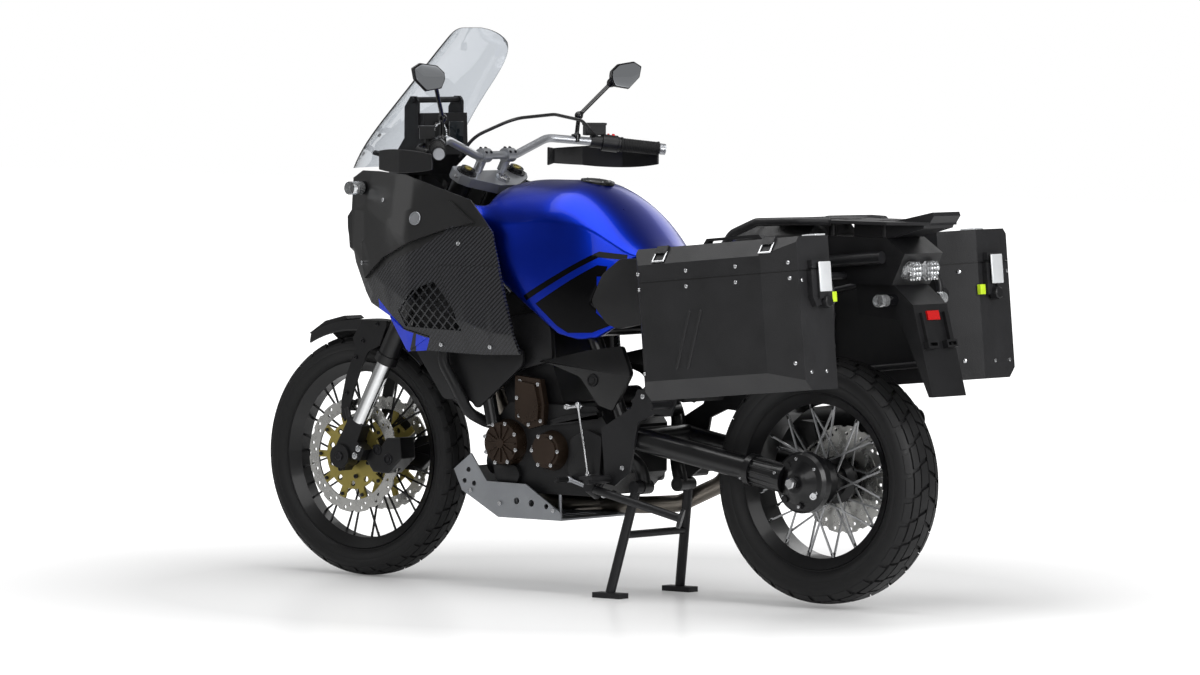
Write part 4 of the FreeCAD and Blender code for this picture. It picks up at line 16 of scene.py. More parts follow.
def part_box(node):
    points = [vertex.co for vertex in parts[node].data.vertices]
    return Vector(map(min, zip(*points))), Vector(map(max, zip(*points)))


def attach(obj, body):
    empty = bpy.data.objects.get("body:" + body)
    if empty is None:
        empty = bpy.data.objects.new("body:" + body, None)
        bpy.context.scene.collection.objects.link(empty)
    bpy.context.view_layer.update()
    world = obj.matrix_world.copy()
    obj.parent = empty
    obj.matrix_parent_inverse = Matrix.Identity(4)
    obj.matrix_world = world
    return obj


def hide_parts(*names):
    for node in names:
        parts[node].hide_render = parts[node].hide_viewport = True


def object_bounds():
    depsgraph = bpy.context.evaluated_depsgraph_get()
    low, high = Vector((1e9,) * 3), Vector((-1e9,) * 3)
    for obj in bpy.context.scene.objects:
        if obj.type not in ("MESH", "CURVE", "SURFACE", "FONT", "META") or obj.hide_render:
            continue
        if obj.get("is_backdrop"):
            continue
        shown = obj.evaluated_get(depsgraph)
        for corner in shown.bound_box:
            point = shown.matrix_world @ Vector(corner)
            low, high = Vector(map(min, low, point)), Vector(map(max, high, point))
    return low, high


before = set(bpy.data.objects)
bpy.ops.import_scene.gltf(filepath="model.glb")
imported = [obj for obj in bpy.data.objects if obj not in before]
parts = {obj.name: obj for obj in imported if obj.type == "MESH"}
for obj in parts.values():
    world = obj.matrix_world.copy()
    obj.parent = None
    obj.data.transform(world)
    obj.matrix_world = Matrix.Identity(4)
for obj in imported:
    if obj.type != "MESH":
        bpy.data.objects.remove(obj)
cad_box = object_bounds()
HANDS = ((1, "left"), (-1, "right"))
print(len(parts), "parts loaded")

# %% [markdown]
# ## The camera
# A long lens from far away keeps the two wheels nearly the same size, as in the picture. A camera could be
# aimed by a constraint, but here its place and its turn were worked out from wheel centres and other points
# of known size, so they are set as they came out.

# %% Put up the camera
camera_place = Vector((-12.2108, 15.8397, 1.6455))
yaw, pitch, roll = -0.91372, -0.04846, 0.00854
view_way = Vector((math.cos(pitch) * math.cos(yaw), math.cos(pitch) * math.sin(yaw), math.sin(pitch)))
level_side = view_way.cross(Vector((0, 0, 1))).normalized()
level_up = level_side.cross(view_way)
side = math.cos(roll) * level_side + math.sin(roll) * level_up
up = math.cos(roll) * level_up - math.sin(roll) * level_side
camera_data = bpy.data.cameras.new("camera")
camera_data.sensor_width = 36.0
camera_data.lens = 226.26
camera_data.clip_end = 100.0
camera = bpy.data.objects.new("camera", camera_data)
camera.matrix_world = Matrix((
    (side.x, up.x, -view_way.x, camera_place.x),
    (side.y, up.y, -view_way.y, camera_place.y),
    (side.z, up.z, -view_way.z, camera_place.z),
    (0, 0, 0, 1),
))
scene = bpy.context.scene
scene.collection.objects.link(camera)
scene.camera = camera
scene.view_settings.view_transform = "Standard"
print("lens", camera_data.lens)

# %% [markdown]
# ## Colours and node helpers
# Colours are written as sRGB hex values, and a shader works in linear light, so one function turns them.
# A second function adds any node with its settings and links, because a finish is easier to read as a list
# of nodes than as a hundred lines that set one value each.

# %% Helpers for materials
def linear(hex_colour):
    """An sRGB hex colour as the linear values that a socket takes."""
    channels = [int(hex_colour[i:i + 2], 16) / 255 for i in (1, 3, 5)]
    return tuple(v / 12.92 if v <= 0.04045 else ((v + 0.055) / 1.055) ** 2.4 for v in channels) + (1.0,)


def add(tree, kind, inputs=(), **settings):
    """Add a node; inputs are values or sockets by name or number, settings are its properties."""
    node = tree.nodes.new("ShaderNode" + kind)
    for key, value in settings.items():
        setattr(node, key, value)
    for key, value in dict(inputs).items():
        if isinstance(value, bpy.types.NodeSocket):
            tree.links.new(value, node.inputs[key])
        else:
            node.inputs[key].default_value = value
    return node


def per(millimetres):
    """The texture scale at which a pattern repeats every so many millimetres."""
    return 1000.0 / millimetres


print("white is", linear("#ffffff"))

# %% [markdown]
# ## Backdrop and lamps
# The machine stands in a white studio under broad soft lamps. The world looks white to the camera, is dimmer
# in reflections, and lights the machine gently, so that dark plastics stay dark. One world with three
# strengths does this without a painted wall, which would also shade the lamps.

# %% Light the studio
ambient, reflected, backdrop = 0.3, 0.24, 1.0
world = bpy.data.worlds.new("studio")
scene.world = world
world.use_nodes = True
tree = world.node_tree
plain = tree.nodes["Background"]
plain.inputs["Color"].default_value = linear("#ffffff")
plain.inputs["Strength"].default_value = ambient
white = add(tree, "Background", {"Color": linear("#ffffff"), "Strength": backdrop})
shine = add(tree, "Background", {"Color": linear("#ffffff"), "Strength": reflected})
path = add(tree, "LightPath")
seen = add(tree, "Math", {0: path.outputs["Is Camera Ray"], 1: path.outputs["Is Transmission Ray"]},
           operation="MAXIMUM")
soft = add(tree, "MixShader", {0: path.outputs["Is Glossy Ray"], 1: plain.outputs[0], 2: shine.outputs[0]})
mixed = add(tree, "MixShader", {0: seen.outputs[0], 1: soft.outputs[0], 2: white.outputs[0]})
tree.links.new(mixed.outputs[0], tree.nodes["World Output"].inputs["Surface"])


def soft_lamp(name, place, aim, width, depth, watts):
    """A softbox: an area lamp turned towards a point."""
    data = bpy.data.lights.new(name, "AREA")
    data.shape = "RECTANGLE"
    data.size, data.size_y, data.energy = width, depth, watts
    lamp = bpy.data.objects.new(name, data)
    lamp.location = place
    lamp.rotation_euler = (Vector(aim) - Vector(place)).to_track_quat("-Z", "Y").to_euler()
    scene.collection.objects.link(lamp)


soft_lamp("overhead_box", (0.0, 0.3, 3.6), (0, 0, 0.4), 4.0, 2.2, 104)
soft_lamp("left_box", (-1.6, 4.4, 2.6), (0, 0, 0.7), 3.4, 2.0, 64)
soft_lamp("front_box", (4.2, 2.6, 2.2), (0.2, 0, 0.7), 1.6, 2.4, 20)
soft_lamp("rear_box", (-4.4, 0.6, 2.0), (-0.4, 0, 0.6), 2.0, 2.4, 130)
soft_lamp("right_box", (0.6, -4.6, 2.8), (0, 0, 0.6), 3.0, 1.8, 36)
print(len(bpy.data.lights), "lamps up")

# %% [markdown]
# ## The floor
# A studio floor is a sweep of white paint that fades into the wall. A curved wall would do it, but one flat
# plane is enough: near the machine only the lamps light it, so the shadow shows, and further out it glows
# for the camera alone until it is as white as the backdrop.

# %% Lay the floor
shadow_reach, white_from = 1.2, 3.4
near_glow, far_glow = 0.13, 1.1
bpy.ops.object.select_all(action="DESELECT")
bpy.ops.mesh.primitive_plane_add(size=60.0, location=(0, 0, 0))
floor = bpy.context.object
floor.name = "studio_floor"
sweep = bpy.data.materials.new("white_painted_sweep")
sweep.use_nodes = True
tree = sweep.node_tree
shader = tree.nodes["Principled BSDF"]
shader.inputs["Base Color"].default_value = linear("#fbfbfb")
shader.inputs["Roughness"].default_value = 0.22
place = add(tree, "TexCoord").outputs["Object"]
away = add(tree, "VectorMath", {0: place}, operation="LENGTH")
fade = add(tree, "MapRange", {0: away.outputs["Value"], 1: shadow_reach, 2: white_from, 3: near_glow,
                              4: far_glow})
glow = add(tree, "Emission", {"Color": linear("#ffffff"), "Strength": fade.outputs[0]})
both = add(tree, "AddShader", {0: shader.outputs[0], 1: glow.outputs[0]})
path = add(tree, "LightPath")
mixed = add(tree, "MixShader", {0: path.outputs["Is Camera Ray"], 1: shader.outputs[0], 2: both.outputs[0]})
tree.links.new(mixed.outputs[0], tree.nodes["Material Output"].inputs["Surface"])
floor.data.materials.append(sweep)
floor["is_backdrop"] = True
print("floor laid")

# %% [markdown]
# ## Finishes
# Most pieces share one build of a finish: two close tones in broad patches, gloss that is a little uneven,
# fine scuffs, and a fine grain as bump. What sets cast, moulded, powder-coated and polished metal apart is
# the size of that grain, the gloss and the metal. Grains are given in millimetres. Most real ones are finer
# than one millimetre, and they are drawn as coarse as they need to show.

# %% Build of a finish
def surface(name, low, high, rough, grain=1.2, relief=0.1, metal=0.0, patch=90.0, coat=0.0, coat_rough=0.1,
            spec=0.5, scuff=0.0, rim=None):
    """Two tones in patches of patch mm, gloss near rough, scuffs, and a grain of grain mm as bump."""
    material = bpy.data.materials.new(name)
    material.use_nodes = True
    tree = material.node_tree
    shader = tree.nodes["Principled BSDF"]
    place = add(tree, "TexCoord").outputs["Object"]
    patches = add(tree, "TexNoise", {"Vector": place, "Scale": per(patch), "Detail": 6.0, "Roughness": 0.62})
    tone = add(tree, "Mix", {0: patches.outputs[0], 6: linear(low), 7: linear(high)}, data_type="RGBA")
    colour = tone.outputs[2]
    if scuff:
        marks = add(tree, "TexNoise", {"Vector": place, "Scale": per(7.0), "Detail": 9.0, "Roughness": 0.75})
        worn = add(tree, "MapRange", {0: marks.outputs[0], 1: 0.6, 2: 0.78, 3: 0.0, 4: scuff})
        lit = add(tree, "Mix", {0: worn.outputs[0], 6: colour, 7: linear("#77777a")}, data_type="RGBA")
        colour = lit.outputs[2]
    # Painted shade: the colour turns towards the rim colour where the surface faces away from the camera.
    if rim:
        facing = add(tree, "LayerWeight", {"Blend": 0.28})
        edge_shade = add(tree, "Mix", {0: facing.outputs["Facing"], 6: colour, 7: linear(rim)}, data_type="RGBA")
        colour = edge_shade.outputs[2]
    tree.links.new(colour, shader.inputs["Base Color"])
    gloss = add(tree, "MapRange", {0: patches.outputs[0], 1: 0.3, 2: 0.7, 3: rough * 0.84, 4: rough * 1.16})
    tree.links.new(gloss.outputs[0], shader.inputs["Roughness"])
    grains = add(tree, "TexNoise", {"Vector": place, "Scale": per(grain), "Detail": 2.0})
    bump = add(tree, "Bump", {"Strength": relief, "Distance": grain / 2000.0, "Height": grains.outputs[0]})
    tree.links.new(bump.outputs[0], shader.inputs["Normal"])
    shader.inputs["Metallic"].default_value = metal
    shader.inputs["Coat Weight"].default_value = coat
    shader.inputs["Coat Roughness"].default_value = coat_rough
    shader.inputs["Specular IOR Level"].default_value = spec
    return material


def opened(material):
    """A finish's node tree, its shader and the coordinates that its patterns read."""
    tree = material.node_tree
    place = next(node for node in tree.nodes if node.type == "TEX_COORD").outputs["Object"]
    return tree, tree.nodes["Principled BSDF"], place


def remixed(finish, name):
    """A copy of a finish under its own name, with its tree, shader and coordinates."""
    material = finish.copy()
    material.name = name
    return (material, *opened(material))


print("a grain of 2 mm has scale", per(2.0))

# %% [markdown]
# ## Rubber and plastics
# The black of such a machine is many blacks. Mouldings are ABS and polypropylene with a spark-eroded grain
# of about a millimetre, drawn a little coarser than it is so that it shows. Rubber is duller and softer, and
# the seat's vinyl has the deepest grain. One black for all of them would make the machine look cast.

# %% Mix the rubber and the plastics
# Tyre rubber is matt and very slightly brown where the tread is dusty.
rubber = surface("butyl_rubber", "#0c0c0d", "#161617", 0.55, grain=2.4, relief=0.25, patch=140, spec=0.28,
                 scuff=0.05)
# Moulded ABS has a soft sheen, broken by its grain and a few handling marks.
moulded_black = surface("moulded_abs_black", "#0b0b0c", "#151517", 0.42, grain=2.2, relief=0.2, spec=0.3,
                        scuff=0.02)
# Gloss mouldings come from a polished tool, so they give clear reflections.
smooth_black = surface("injection_moulded_gloss_black", "#040405", "#09090a", 0.2, grain=3.0, relief=0.03,
                       spec=0.4)
# Seat vinyl is embossed like leather, which makes its highlights break up.
seat_vinyl = surface("grained_seat_vinyl", "#101011", "#1c1c1d", 0.5, grain=2.6, relief=0.5, spec=0.35)
# Grip rubber is soft and the dullest of all.
grip_rubber = surface("soft_grip_rubber", "#0b0b0c", "#131314", 0.66, grain=1.6, relief=0.4, spec=0.25)
# The stop switch is plain red plastic.
switch_red = surface("red_switch_plastic", "#b8161a", "#cc2024", 0.35, grain=1.5, relief=0.05)
print(len(bpy.data.materials), "finishes")

# %% [markdown]
# ## Metals and coats
# Bare metal is almost all reflection, so its roughness tells a rolled sheet from a ground disc or a plated
# tube. Paint and powder hide the metal, and only their gloss and grain are seen. The values were tuned
# until each finish looked like the real one under these lamps.

# %% Mix the metals and the coats
# Wheels, fork and frame: black paint on alloy, with a thin clear coat and few marks.
black_alloy = surface("black_painted_alloy", "#060607", "#0d0d0f", 0.34, grain=2.0, relief=0.1, coat=0.2,
                      spec=0.3, scuff=0.03)
# Yokes and bar: silver paint, bright but not a mirror.
silver_alloy = surface("silver_painted_alloy", "#8c8e92", "#a6a8ac", 0.32, grain=1.6, relief=0.08, metal=0.8)
# Skid plate: bare sheet from the rolling mill, scuffed by gravel.
bare_alloy = surface("bare_rolled_aluminium", "#85878b", "#a5a8ac", 0.38, grain=2.6, relief=0.16, metal=0.9,
                     scuff=0.2)
# Fork tubes: hard chrome, ground and polished to a mirror.
chrome = surface("hard_chrome", "#d6d7d8", "#e6e7e8", 0.09, grain=4.0, relief=0.02, metal=1.0)
# Brake discs: ground stainless steel, which spreads each highlight a little.
disc_steel = surface("ground_stainless_steel", "#b2b2b0", "#cbcac6", 0.28, grain=1.6, relief=0.1, metal=1.0,
                     patch=30)
# Disc carriers: aluminium dyed gold under its oxide, satin rather than bright.
gold_anodised = surface("gold_anodised_aluminium", "#8d8040", "#a99b58", 0.36, grain=1.8, relief=0.08,
                        metal=0.75)
# Engine: sand-cast aluminium under black paint, the roughest grain on the machine.
engine_black = surface("black_cast_aluminium", "#0a0a0b", "#161618", 0.42, grain=2.8, relief=0.35, spec=0.3,
                       scuff=0.03)
# Engine covers: magnesium in a bronze metallic paint, dark with a warm sheen.
bronze_cover = surface("bronze_painted_magnesium", "#2b211a", "#3d3026", 0.3, grain=1.6, relief=0.12,
                       metal=0.6)
# Rack, stands and footrests: powder-coated steel, with a fine orange peel.
rack_black = surface("black_powder_coated_steel", "#101012", "#1b1b1d", 0.42, grain=1.8, relief=0.2,
                     spec=0.32, scuff=0.04)
# Exhaust pipes: stainless steel that heat has browned.
exhaust_steel = surface("heat_stained_stainless_steel", "#6d675f", "#8e8880", 0.34, grain=2.2, relief=0.08,
                        metal=0.95)
# Muffler: steel under a satin black ceramic coat.
muffler_black = surface("black_ceramic_coated_steel", "#0b0b0c", "#141415", 0.4, grain=2.0, relief=0.12,
                        spec=0.35)
# Side cases: powder coat with a leathery texture over sheet aluminium.
case_powder = surface("textured_powder_coat_on_aluminium", "#141415", "#202022", 0.44, grain=2.2,
                      relief=0.32, spec=0.32, scuff=0.025)
# Spoke nipples and bright bolts: zinc plate, blue-white and even.
spoke_steel = surface("zinc_plated_spoke_steel", "#9a9b9d", "#bcbdbf", 0.28, grain=3.0, relief=0.05,
                      metal=0.95)
bolt_steel = surface("zinc_plated_bolt_steel", "#a9aaac", "#c6c7c9", 0.24, grain=2.0, relief=0.05, metal=1.0,
                     patch=8)
# Dark bolts: black oxide, which keeps a dull metal shine.
dark_bolt = surface("black_oxide_bolt_steel", "#18181a", "#242427", 0.36, grain=2.0, relief=0.05, metal=0.6,
                    patch=8)
# Mirrors: silver behind glass, without grain.
mirror_glass = surface("silvered_mirror_glass", "#c9cdd2", "#d8dbdf", 0.03, grain=6.0, relief=0.0, metal=1.0,
                       patch=200)
print(len(bpy.data.materials), "finishes")

# %% [markdown]
# ## Tones that meet along lines
# Two tones can meet along lines on one surface, as masking tape leaves them. An image could hold the lines,
# but a mask made of straight cuts stays sharp at any size. A mask is the area inside a convex outline in the
# side view, and a form that isn't convex takes several.

# %% Masks
def inside(tree, place, corners):
    """One inside a convex outline in the side view and nought outside; corners (x, z) run anticlockwise."""
    split = add(tree, "SeparateXYZ", {0: place})
    total = None
    for (x0, z0), (x1, z1) in zip(corners, corners[1:] + corners[:1]):
        across = add(tree, "Math", {0: split.outputs[0], 1: z0 - z1, 2: x0 * (z1 - z0) - z0 * (x1 - x0)},
                     operation="MULTIPLY_ADD")
        level = add(tree, "Math", {0: split.outputs[2], 1: x1 - x0, 2: across.outputs[0]},
                    operation="MULTIPLY_ADD")
        step = add(tree, "Math", {0: level.outputs[0], 1: 0.0}, operation="GREATER_THAN").outputs[0]
        total = step if total is None else add(tree, "Math", {0: total, 1: step},
                                               operation="MULTIPLY").outputs[0]
    return total


def painted_over(material, layers, rough=None):
    """Lay more tones over a finish: each is a hex colour and its convex outlines, at one gloss if given."""
    tree, shader, place = opened(material)
    for colour, outlines in layers:
        share = None
        for corners in outlines:
            area = inside(tree, place, corners)
            share = area if share is None else add(tree, "Math", {0: share, 1: area},
                                                   operation="MAXIMUM").outputs[0]
        under = shader.inputs["Base Color"].links[0].from_socket
        tone = add(tree, "Mix", {0: share, 6: under, 7: linear(colour)}, data_type="RGBA")
        tree.links.new(tone.outputs[2], shader.inputs["Base Color"])
        if rough:
            uneven = shader.inputs["Roughness"].links[0].from_socket
            even = add(tree, "Mix", {0: share, 2: uneven, 3: rough}, data_type="FLOAT")
            tree.links.new(even.outputs[0], shader.inputs["Roughness"])


print("masks ready")

# %% [markdown]
# ## Paint on the tank
# The blue is a metallic base under clear lacquer: flakes throw the light back, so the tone is bright where it
# faces the lamps. Its colour is also painted darker towards the edges that turn from the camera, as painted
# shade, so that they are nearly black. A black flash runs over the tank's flank below it.

# %% Blue paint with its black flash
# The rim colour is painted shade that darkens the paint towards its edges.
blue_paint = surface("deep_blue_metallic_clearcoat", "#01229a", "#032bae", 0.32, grain=1.2, relief=0.03,
                     metal=0.96, patch=240, coat=0.17, coat_rough=0.03, spec=0.3, rim="#020f60")
flash_field = ((0.098, 0.757), (-0.118, 0.876), (-0.119, 0.787), (-0.115, 0.751), (-0.099, 0.697),
               (-0.011, 0.694), (0.01, 0.712))
flash_tail = ((-0.118, 0.876), (-0.2, 0.868), (-0.2, 0.846), (-0.136, 0.846), (-0.119, 0.787))
flash_foot = ((-0.115, 0.751), (-0.151, 0.718), (-0.099, 0.697))
flash_line = ((0.116, 0.789), (-0.121, 0.912), (-0.121, 0.896), (0.108, 0.775))
flash_line_end = ((-0.12, 0.912), (-0.186, 0.904), (-0.186, 0.89), (-0.12, 0.896))
tank_paint = remixed(blue_paint, "deep_blue_metallic_with_black_flash")[0]
painted_over(tank_paint, (("#040406", (flash_field, flash_tail, flash_foot, flash_line, flash_line_end)),))
print("paint mixed with", len(tank_paint.node_tree.nodes), "nodes")

# %% [markdown]
# ## Carbon on the side fairings
# The lower fairings wear a woven look: carbon tows cross in a two-by-two twill under lacquer. Whole numbers
# of tows along and up give a weave without an image. Real tows are two millimetres wide, and they are drawn
# at over three so that they show. The upper fairing is plain, and the beak at its foot is blue.

# %% Weave the carbon
def woven(name, tow):
    """A two-by-two twill weave under lacquer: tows tow mm wide cross and step aside by one each row."""
    material = surface(name, "#08080a", "#0f0f12", 0.3, grain=2.4, relief=0.05, coat=0.26, coat_rough=0.2,
                       spec=0.4)
    tree, shader, place = opened(material)
    split = add(tree, "SeparateXYZ", {0: place})
    steps = []
    for socket in (split.outputs[0], split.outputs[2]):
        scaled = add(tree, "Math", {0: socket, 1: per(tow)}, operation="MULTIPLY")
        steps.append(add(tree, "Math", {0: scaled.outputs[0]}, operation="FLOOR").outputs[0])
    both = add(tree, "Math", {0: steps[0], 1: steps[1]}, operation="ADD")
    turn = add(tree, "Math", {0: both.outputs[0], 1: 4.0}, operation="FLOORED_MODULO")
    over = add(tree, "Math", {0: turn.outputs[0], 1: 1.5}, operation="LESS_THAN")
    under = shader.inputs["Base Color"].links[0].from_socket
    lit = add(tree, "Mix", {0: over.outputs[0], 6: under, 7: linear("#242529")}, data_type="RGBA")
    tree.links.new(lit.outputs[2], shader.inputs["Base Color"])
    gloss = add(tree, "MapRange", {0: over.outputs[0], 1: 0.0, 2: 1.0, 3: 0.24, 4: 0.5})
    tree.links.new(gloss.outputs[0], shader.inputs["Roughness"])
    return material


plain_upper = (
    ((0.80, 1.15), (0.20, 1.15), (0.20, 0.968), (0.80, 0.968)),
    ((0.80, 0.968), (0.325, 0.968), (0.43, 0.905), (0.80, 0.905)),
    ((0.80, 0.905), (0.43, 0.905), (0.56, 0.86), (0.80, 0.86)),
    ((0.80, 0.86), (0.56, 0.86), (0.68, 0.79), (0.80, 0.79)),
)
blue_beak = (
    ((0.60, 0.765), (0.49, 0.688), (0.49, 0.60), (0.60, 0.60)),
    ((0.49, 0.688), (0.40, 0.667), (0.43, 0.60), (0.49, 0.60)),
)
beak_slot = (((0.451, 0.68), (0.441, 0.68), (0.455, 0.62), (0.475, 0.62)),)
carbon_look = woven("carbon_weave_under_lacquer", 3.2)
painted_over(carbon_look, (("#0a0a0b", plain_upper), ("#0a2fc0", blue_beak), ("#040406", beak_slot)), 0.44)
print("carbon woven with", len(carbon_look.node_tree.nodes), "nodes")

# %% [markdown]
# ## Clear plastics
# The screen is cast acrylic and the lamps have polycarbonate lenses. Both let light pass and bend it, so
# they are one transparent moulding with a faint haze, and only tint and clearness differ.

# %% Mix the clear plastics
def clear_plastic(name, tint, rough, through):
    """A transparent moulding: light passes, and the surface keeps its reflections."""
    material = bpy.data.materials.new(name)
    material.use_nodes = True
    tree = material.node_tree
    shader = tree.nodes["Principled BSDF"]
    shader.inputs["Base Color"].default_value = linear(tint)
    shader.inputs["IOR"].default_value = 1.49
    shader.inputs["Transmission Weight"].default_value = through
    place = add(tree, "TexCoord").outputs["Object"]
    haze = add(tree, "TexNoise", {"Vector": place, "Scale": per(60.0), "Detail": 5.0})
    gloss = add(tree, "MapRange", {0: haze.outputs[0], 1: 0.35, 2: 0.75, 3: rough, 4: rough * 3.0})
    tree.links.new(gloss.outputs[0], shader.inputs["Roughness"])
    return material


# Acrylic is slightly grey at its edges and as smooth as glass.
screen_acrylic = clear_plastic("clear_cast_acrylic", "#cfd4da", 0.015, 1.0)
# Polycarbonate lenses are whiter and let a little less through.
lens_clear = clear_plastic("clear_polycarbonate", "#f2f4f6", 0.03, 0.9)
print("clear plastics mixed")

# %% [markdown]
# ## Finishes that change along a part
# Some CAD parts are one solid where the real thing has two finishes: bright spokes in a black rim, a clear
# lens on a black stalk, a red reflector under clear lenses, the dark seam under a lid. A mask by place gives
# each its own tone, which is simpler than cutting the part in two.

# %% Bright spokes in the black rear wheel
rear_axle = (-0.743994, 0.0, 0.3309)
hub_edge, rim_edge = 0.064, 0.1900
rear_wheel_metal, tree, shader, place = remixed(black_alloy, "black_rim_with_zinc_plated_spokes")
level = add(tree, "VectorMath", {0: place, 1: tuple(-v for v in rear_axle)}, operation="ADD")
flat = add(tree, "VectorMath", {0: level.outputs[0], 1: (1.0, 0.0, 1.0)}, operation="MULTIPLY")
reach = add(tree, "VectorMath", {0: flat.outputs[0]}, operation="LENGTH").outputs["Value"]
beyond = add(tree, "Math", {0: reach, 1: hub_edge}, operation="GREATER_THAN")
within = add(tree, "Math", {0: reach, 1: rim_edge}, operation="LESS_THAN")
spoke = add(tree, "Math", {0: beyond.outputs[0], 1: within.outputs[0]}, operation="MULTIPLY")
under = shader.inputs["Base Color"].links[0].from_socket
tone = add(tree, "Mix", {0: spoke.outputs[0], 6: under, 7: linear("#a3a4a6")}, data_type="RGBA")
tree.links.new(tone.outputs[2], shader.inputs["Base Color"])
metal = add(tree, "Math", {0: spoke.outputs[0], 1: 0.9}, operation="MULTIPLY")
tree.links.new(metal.outputs[0], shader.inputs["Metallic"])
print("spokes bright between", hub_edge, "and", rim_edge)


# %% Lenses of two tones and the lid's seam
def two_lenses(tree, shader, share, tones, through):
    """Give a lens the first tone and clearness where share is nought, and the second where it is one."""
    tone = add(tree, "Mix", {0: share, 6: linear(tones[0]), 7: linear(tones[1])}, data_type="RGBA")
    tree.links.new(tone.outputs[2], shader.inputs["Base Color"])
    clear = add(tree, "MapRange", {0: share, 1: 0.0, 2: 1.0, 3: through[0], 4: through[1]})
    tree.links.new(clear.outputs[0], shader.inputs["Transmission Weight"])


rear_lens_from, front_lens_from = 0.112, 0.188
indicator_mould, tree, shader, place = remixed(lens_clear, "clear_indicator_lens_on_black_stalk")
split = add(tree, "SeparateXYZ", {0: place})
out = add(tree, "Math", {0: split.outputs[1]}, operation="ABSOLUTE")
ahead = add(tree, "Math", {0: split.outputs[0], 1: 0.0}, operation="GREATER_THAN")
limit = add(tree, "MapRange", {0: ahead.outputs[0], 1: 0.0, 2: 1.0, 3: rear_lens_from, 4: front_lens_from})
lens = add(tree, "Math", {0: out.outputs[0], 1: limit.outputs[0]}, operation="GREATER_THAN")
two_lenses(tree, shader, lens.outputs[0], ("#08080a", "#f2f4f6"), (0.0, 0.9))

reflector_top = 0.82
tail_mould, tree, shader, place = remixed(lens_clear, "clear_tail_lens_and_red_reflector")
split = add(tree, "SeparateXYZ", {0: place})
low = add(tree, "Math", {0: split.outputs[2], 1: reflector_top}, operation="LESS_THAN")
two_lenses(tree, shader, low.outputs[0], ("#f2f4f6", "#b40e0e"), (0.9, 0.12))

lid_seam = ((-0.46, 0.8468), (-1.02, 0.9008), (-1.02, 0.8982), (-0.46, 0.8442))
painted_over(case_powder, (("#010101", (lid_seam,)),))
print(len(bpy.data.materials), "finishes in all")

# %% [markdown]
# ## Dress the CAD parts
# Each part of the frame takes its finish by name. Parts that a softer copy stands for further on are here
# too, so that nothing is bare while the file is worked on.

# %% Dress the CAD parts
dressed = {
    "front_tyre": rubber, "rear_tyre": rubber, "front_rim": black_alloy, "rear_rim": rear_wheel_metal,
    "front_discs": disc_steel, "rear_disc": disc_steel, "front_calipers": black_alloy,
    "rear_caliper": black_alloy, "fork_stanchions": chrome, "fork_outer_tubes": black_alloy,
    "fork_feet": moulded_black, "fork_yokes": silver_alloy, "handlebar": silver_alloy,
    "hand_guards": moulded_black, "mirrors": smooth_black, "front_fender": moulded_black,
    "main_frame": black_alloy, "rear_subframe": rack_black, "engine": engine_black,
    "engine_covers": bronze_cover, "skid_plate": bare_alloy, "fuel_tank": tank_paint,
    "side_fairings": carbon_look, "nose_cowl": moulded_black, "headlamps": lens_clear,
    "windscreen": screen_acrylic, "instrument_panel": moulded_black, "radiator": engine_black,
    "rider_seat": seat_vinyl, "pillion_seat": seat_vinyl, "luggage_rack": rack_black,
    "tail_unit": moulded_black, "tail_lamps": tail_mould, "indicators": indicator_mould,
    "plate_holder": moulded_black, "left_case": case_powder, "right_case": case_powder,
    "left_lid": case_powder, "right_lid": case_powder, "swingarm": black_alloy,
    "final_drive": black_alloy, "exhaust_pipes": exhaust_steel, "muffler": muffler_black,
    "footrests": rack_black, "middle_body": moulded_black, "centre_stand": rack_black,
    "side_stand": rack_black, "bar_controls": moulded_black, "disc_carriers": gold_anodised,
}
for part, material in dressed.items():
    mesh = parts[part].data
    mesh.materials.clear()
    mesh.materials.append(material)
print("dressed", len(dressed), "of", len(parts))

# %% [markdown]
# ## Tools for the small forms
# Every new piece starts from a primitive or a drawn section, is worked in edit mode, and is then given a
# name, a finish and the body that it moves with. An operator acts on all that is selected, so each helper
# begins by selecting only its own piece.

# %% Helpers for selecting and finishing
def only(piece):
    """Select one object and make it the one that is worked on."""
    bpy.ops.object.select_all(action="DESELECT")
    piece.select_set(True)
    bpy.context.view_layer.objects.active = piece
    return piece


def edit_all():
    """Open the active object in edit mode with all of it selected."""
    bpy.ops.object.mode_set(mode="EDIT")
    bpy.ops.mesh.select_all(action="SELECT")


def close_edit(outwards=False):
    """Go back to object mode, where asked with all faces turned outwards first."""
    if outwards:
        bpy.ops.mesh.select_all(action="SELECT")
        bpy.ops.mesh.normals_make_consistent(inside=False)
    bpy.ops.object.mode_set(mode="OBJECT")


def settled(piece, name, material, body, smooth=35.0):
    """Finish a piece: place in its mesh, soft shading by angle, a finish, and a body to ride on."""
    piece.name = name
    piece.data.name = name
    only(piece)
    bpy.ops.object.transform_apply(location=True, rotation=True, scale=True)
    if smooth:
        bpy.ops.object.shade_smooth_by_angle(angle=math.radians(smooth))
    piece.data.materials.clear()
    piece.data.materials.append(material)
    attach(piece, body)
    return piece


print("tools laid out")


# %% Helpers for making a mesh
same_spot = 0.00002


def linked(name, mesh):
    """A new object for a mesh, in the scene."""
    piece = bpy.data.objects.new(name, mesh)
    scene.collection.objects.link(piece)
    return piece


def drawn(name, corners, edges, faces=()):
    """A new object from corners, edges and faces."""
    mesh = bpy.data.meshes.new(name)
    mesh.from_pydata([tuple(c) for c in corners], edges, faces)
    return only(linked(name, mesh))


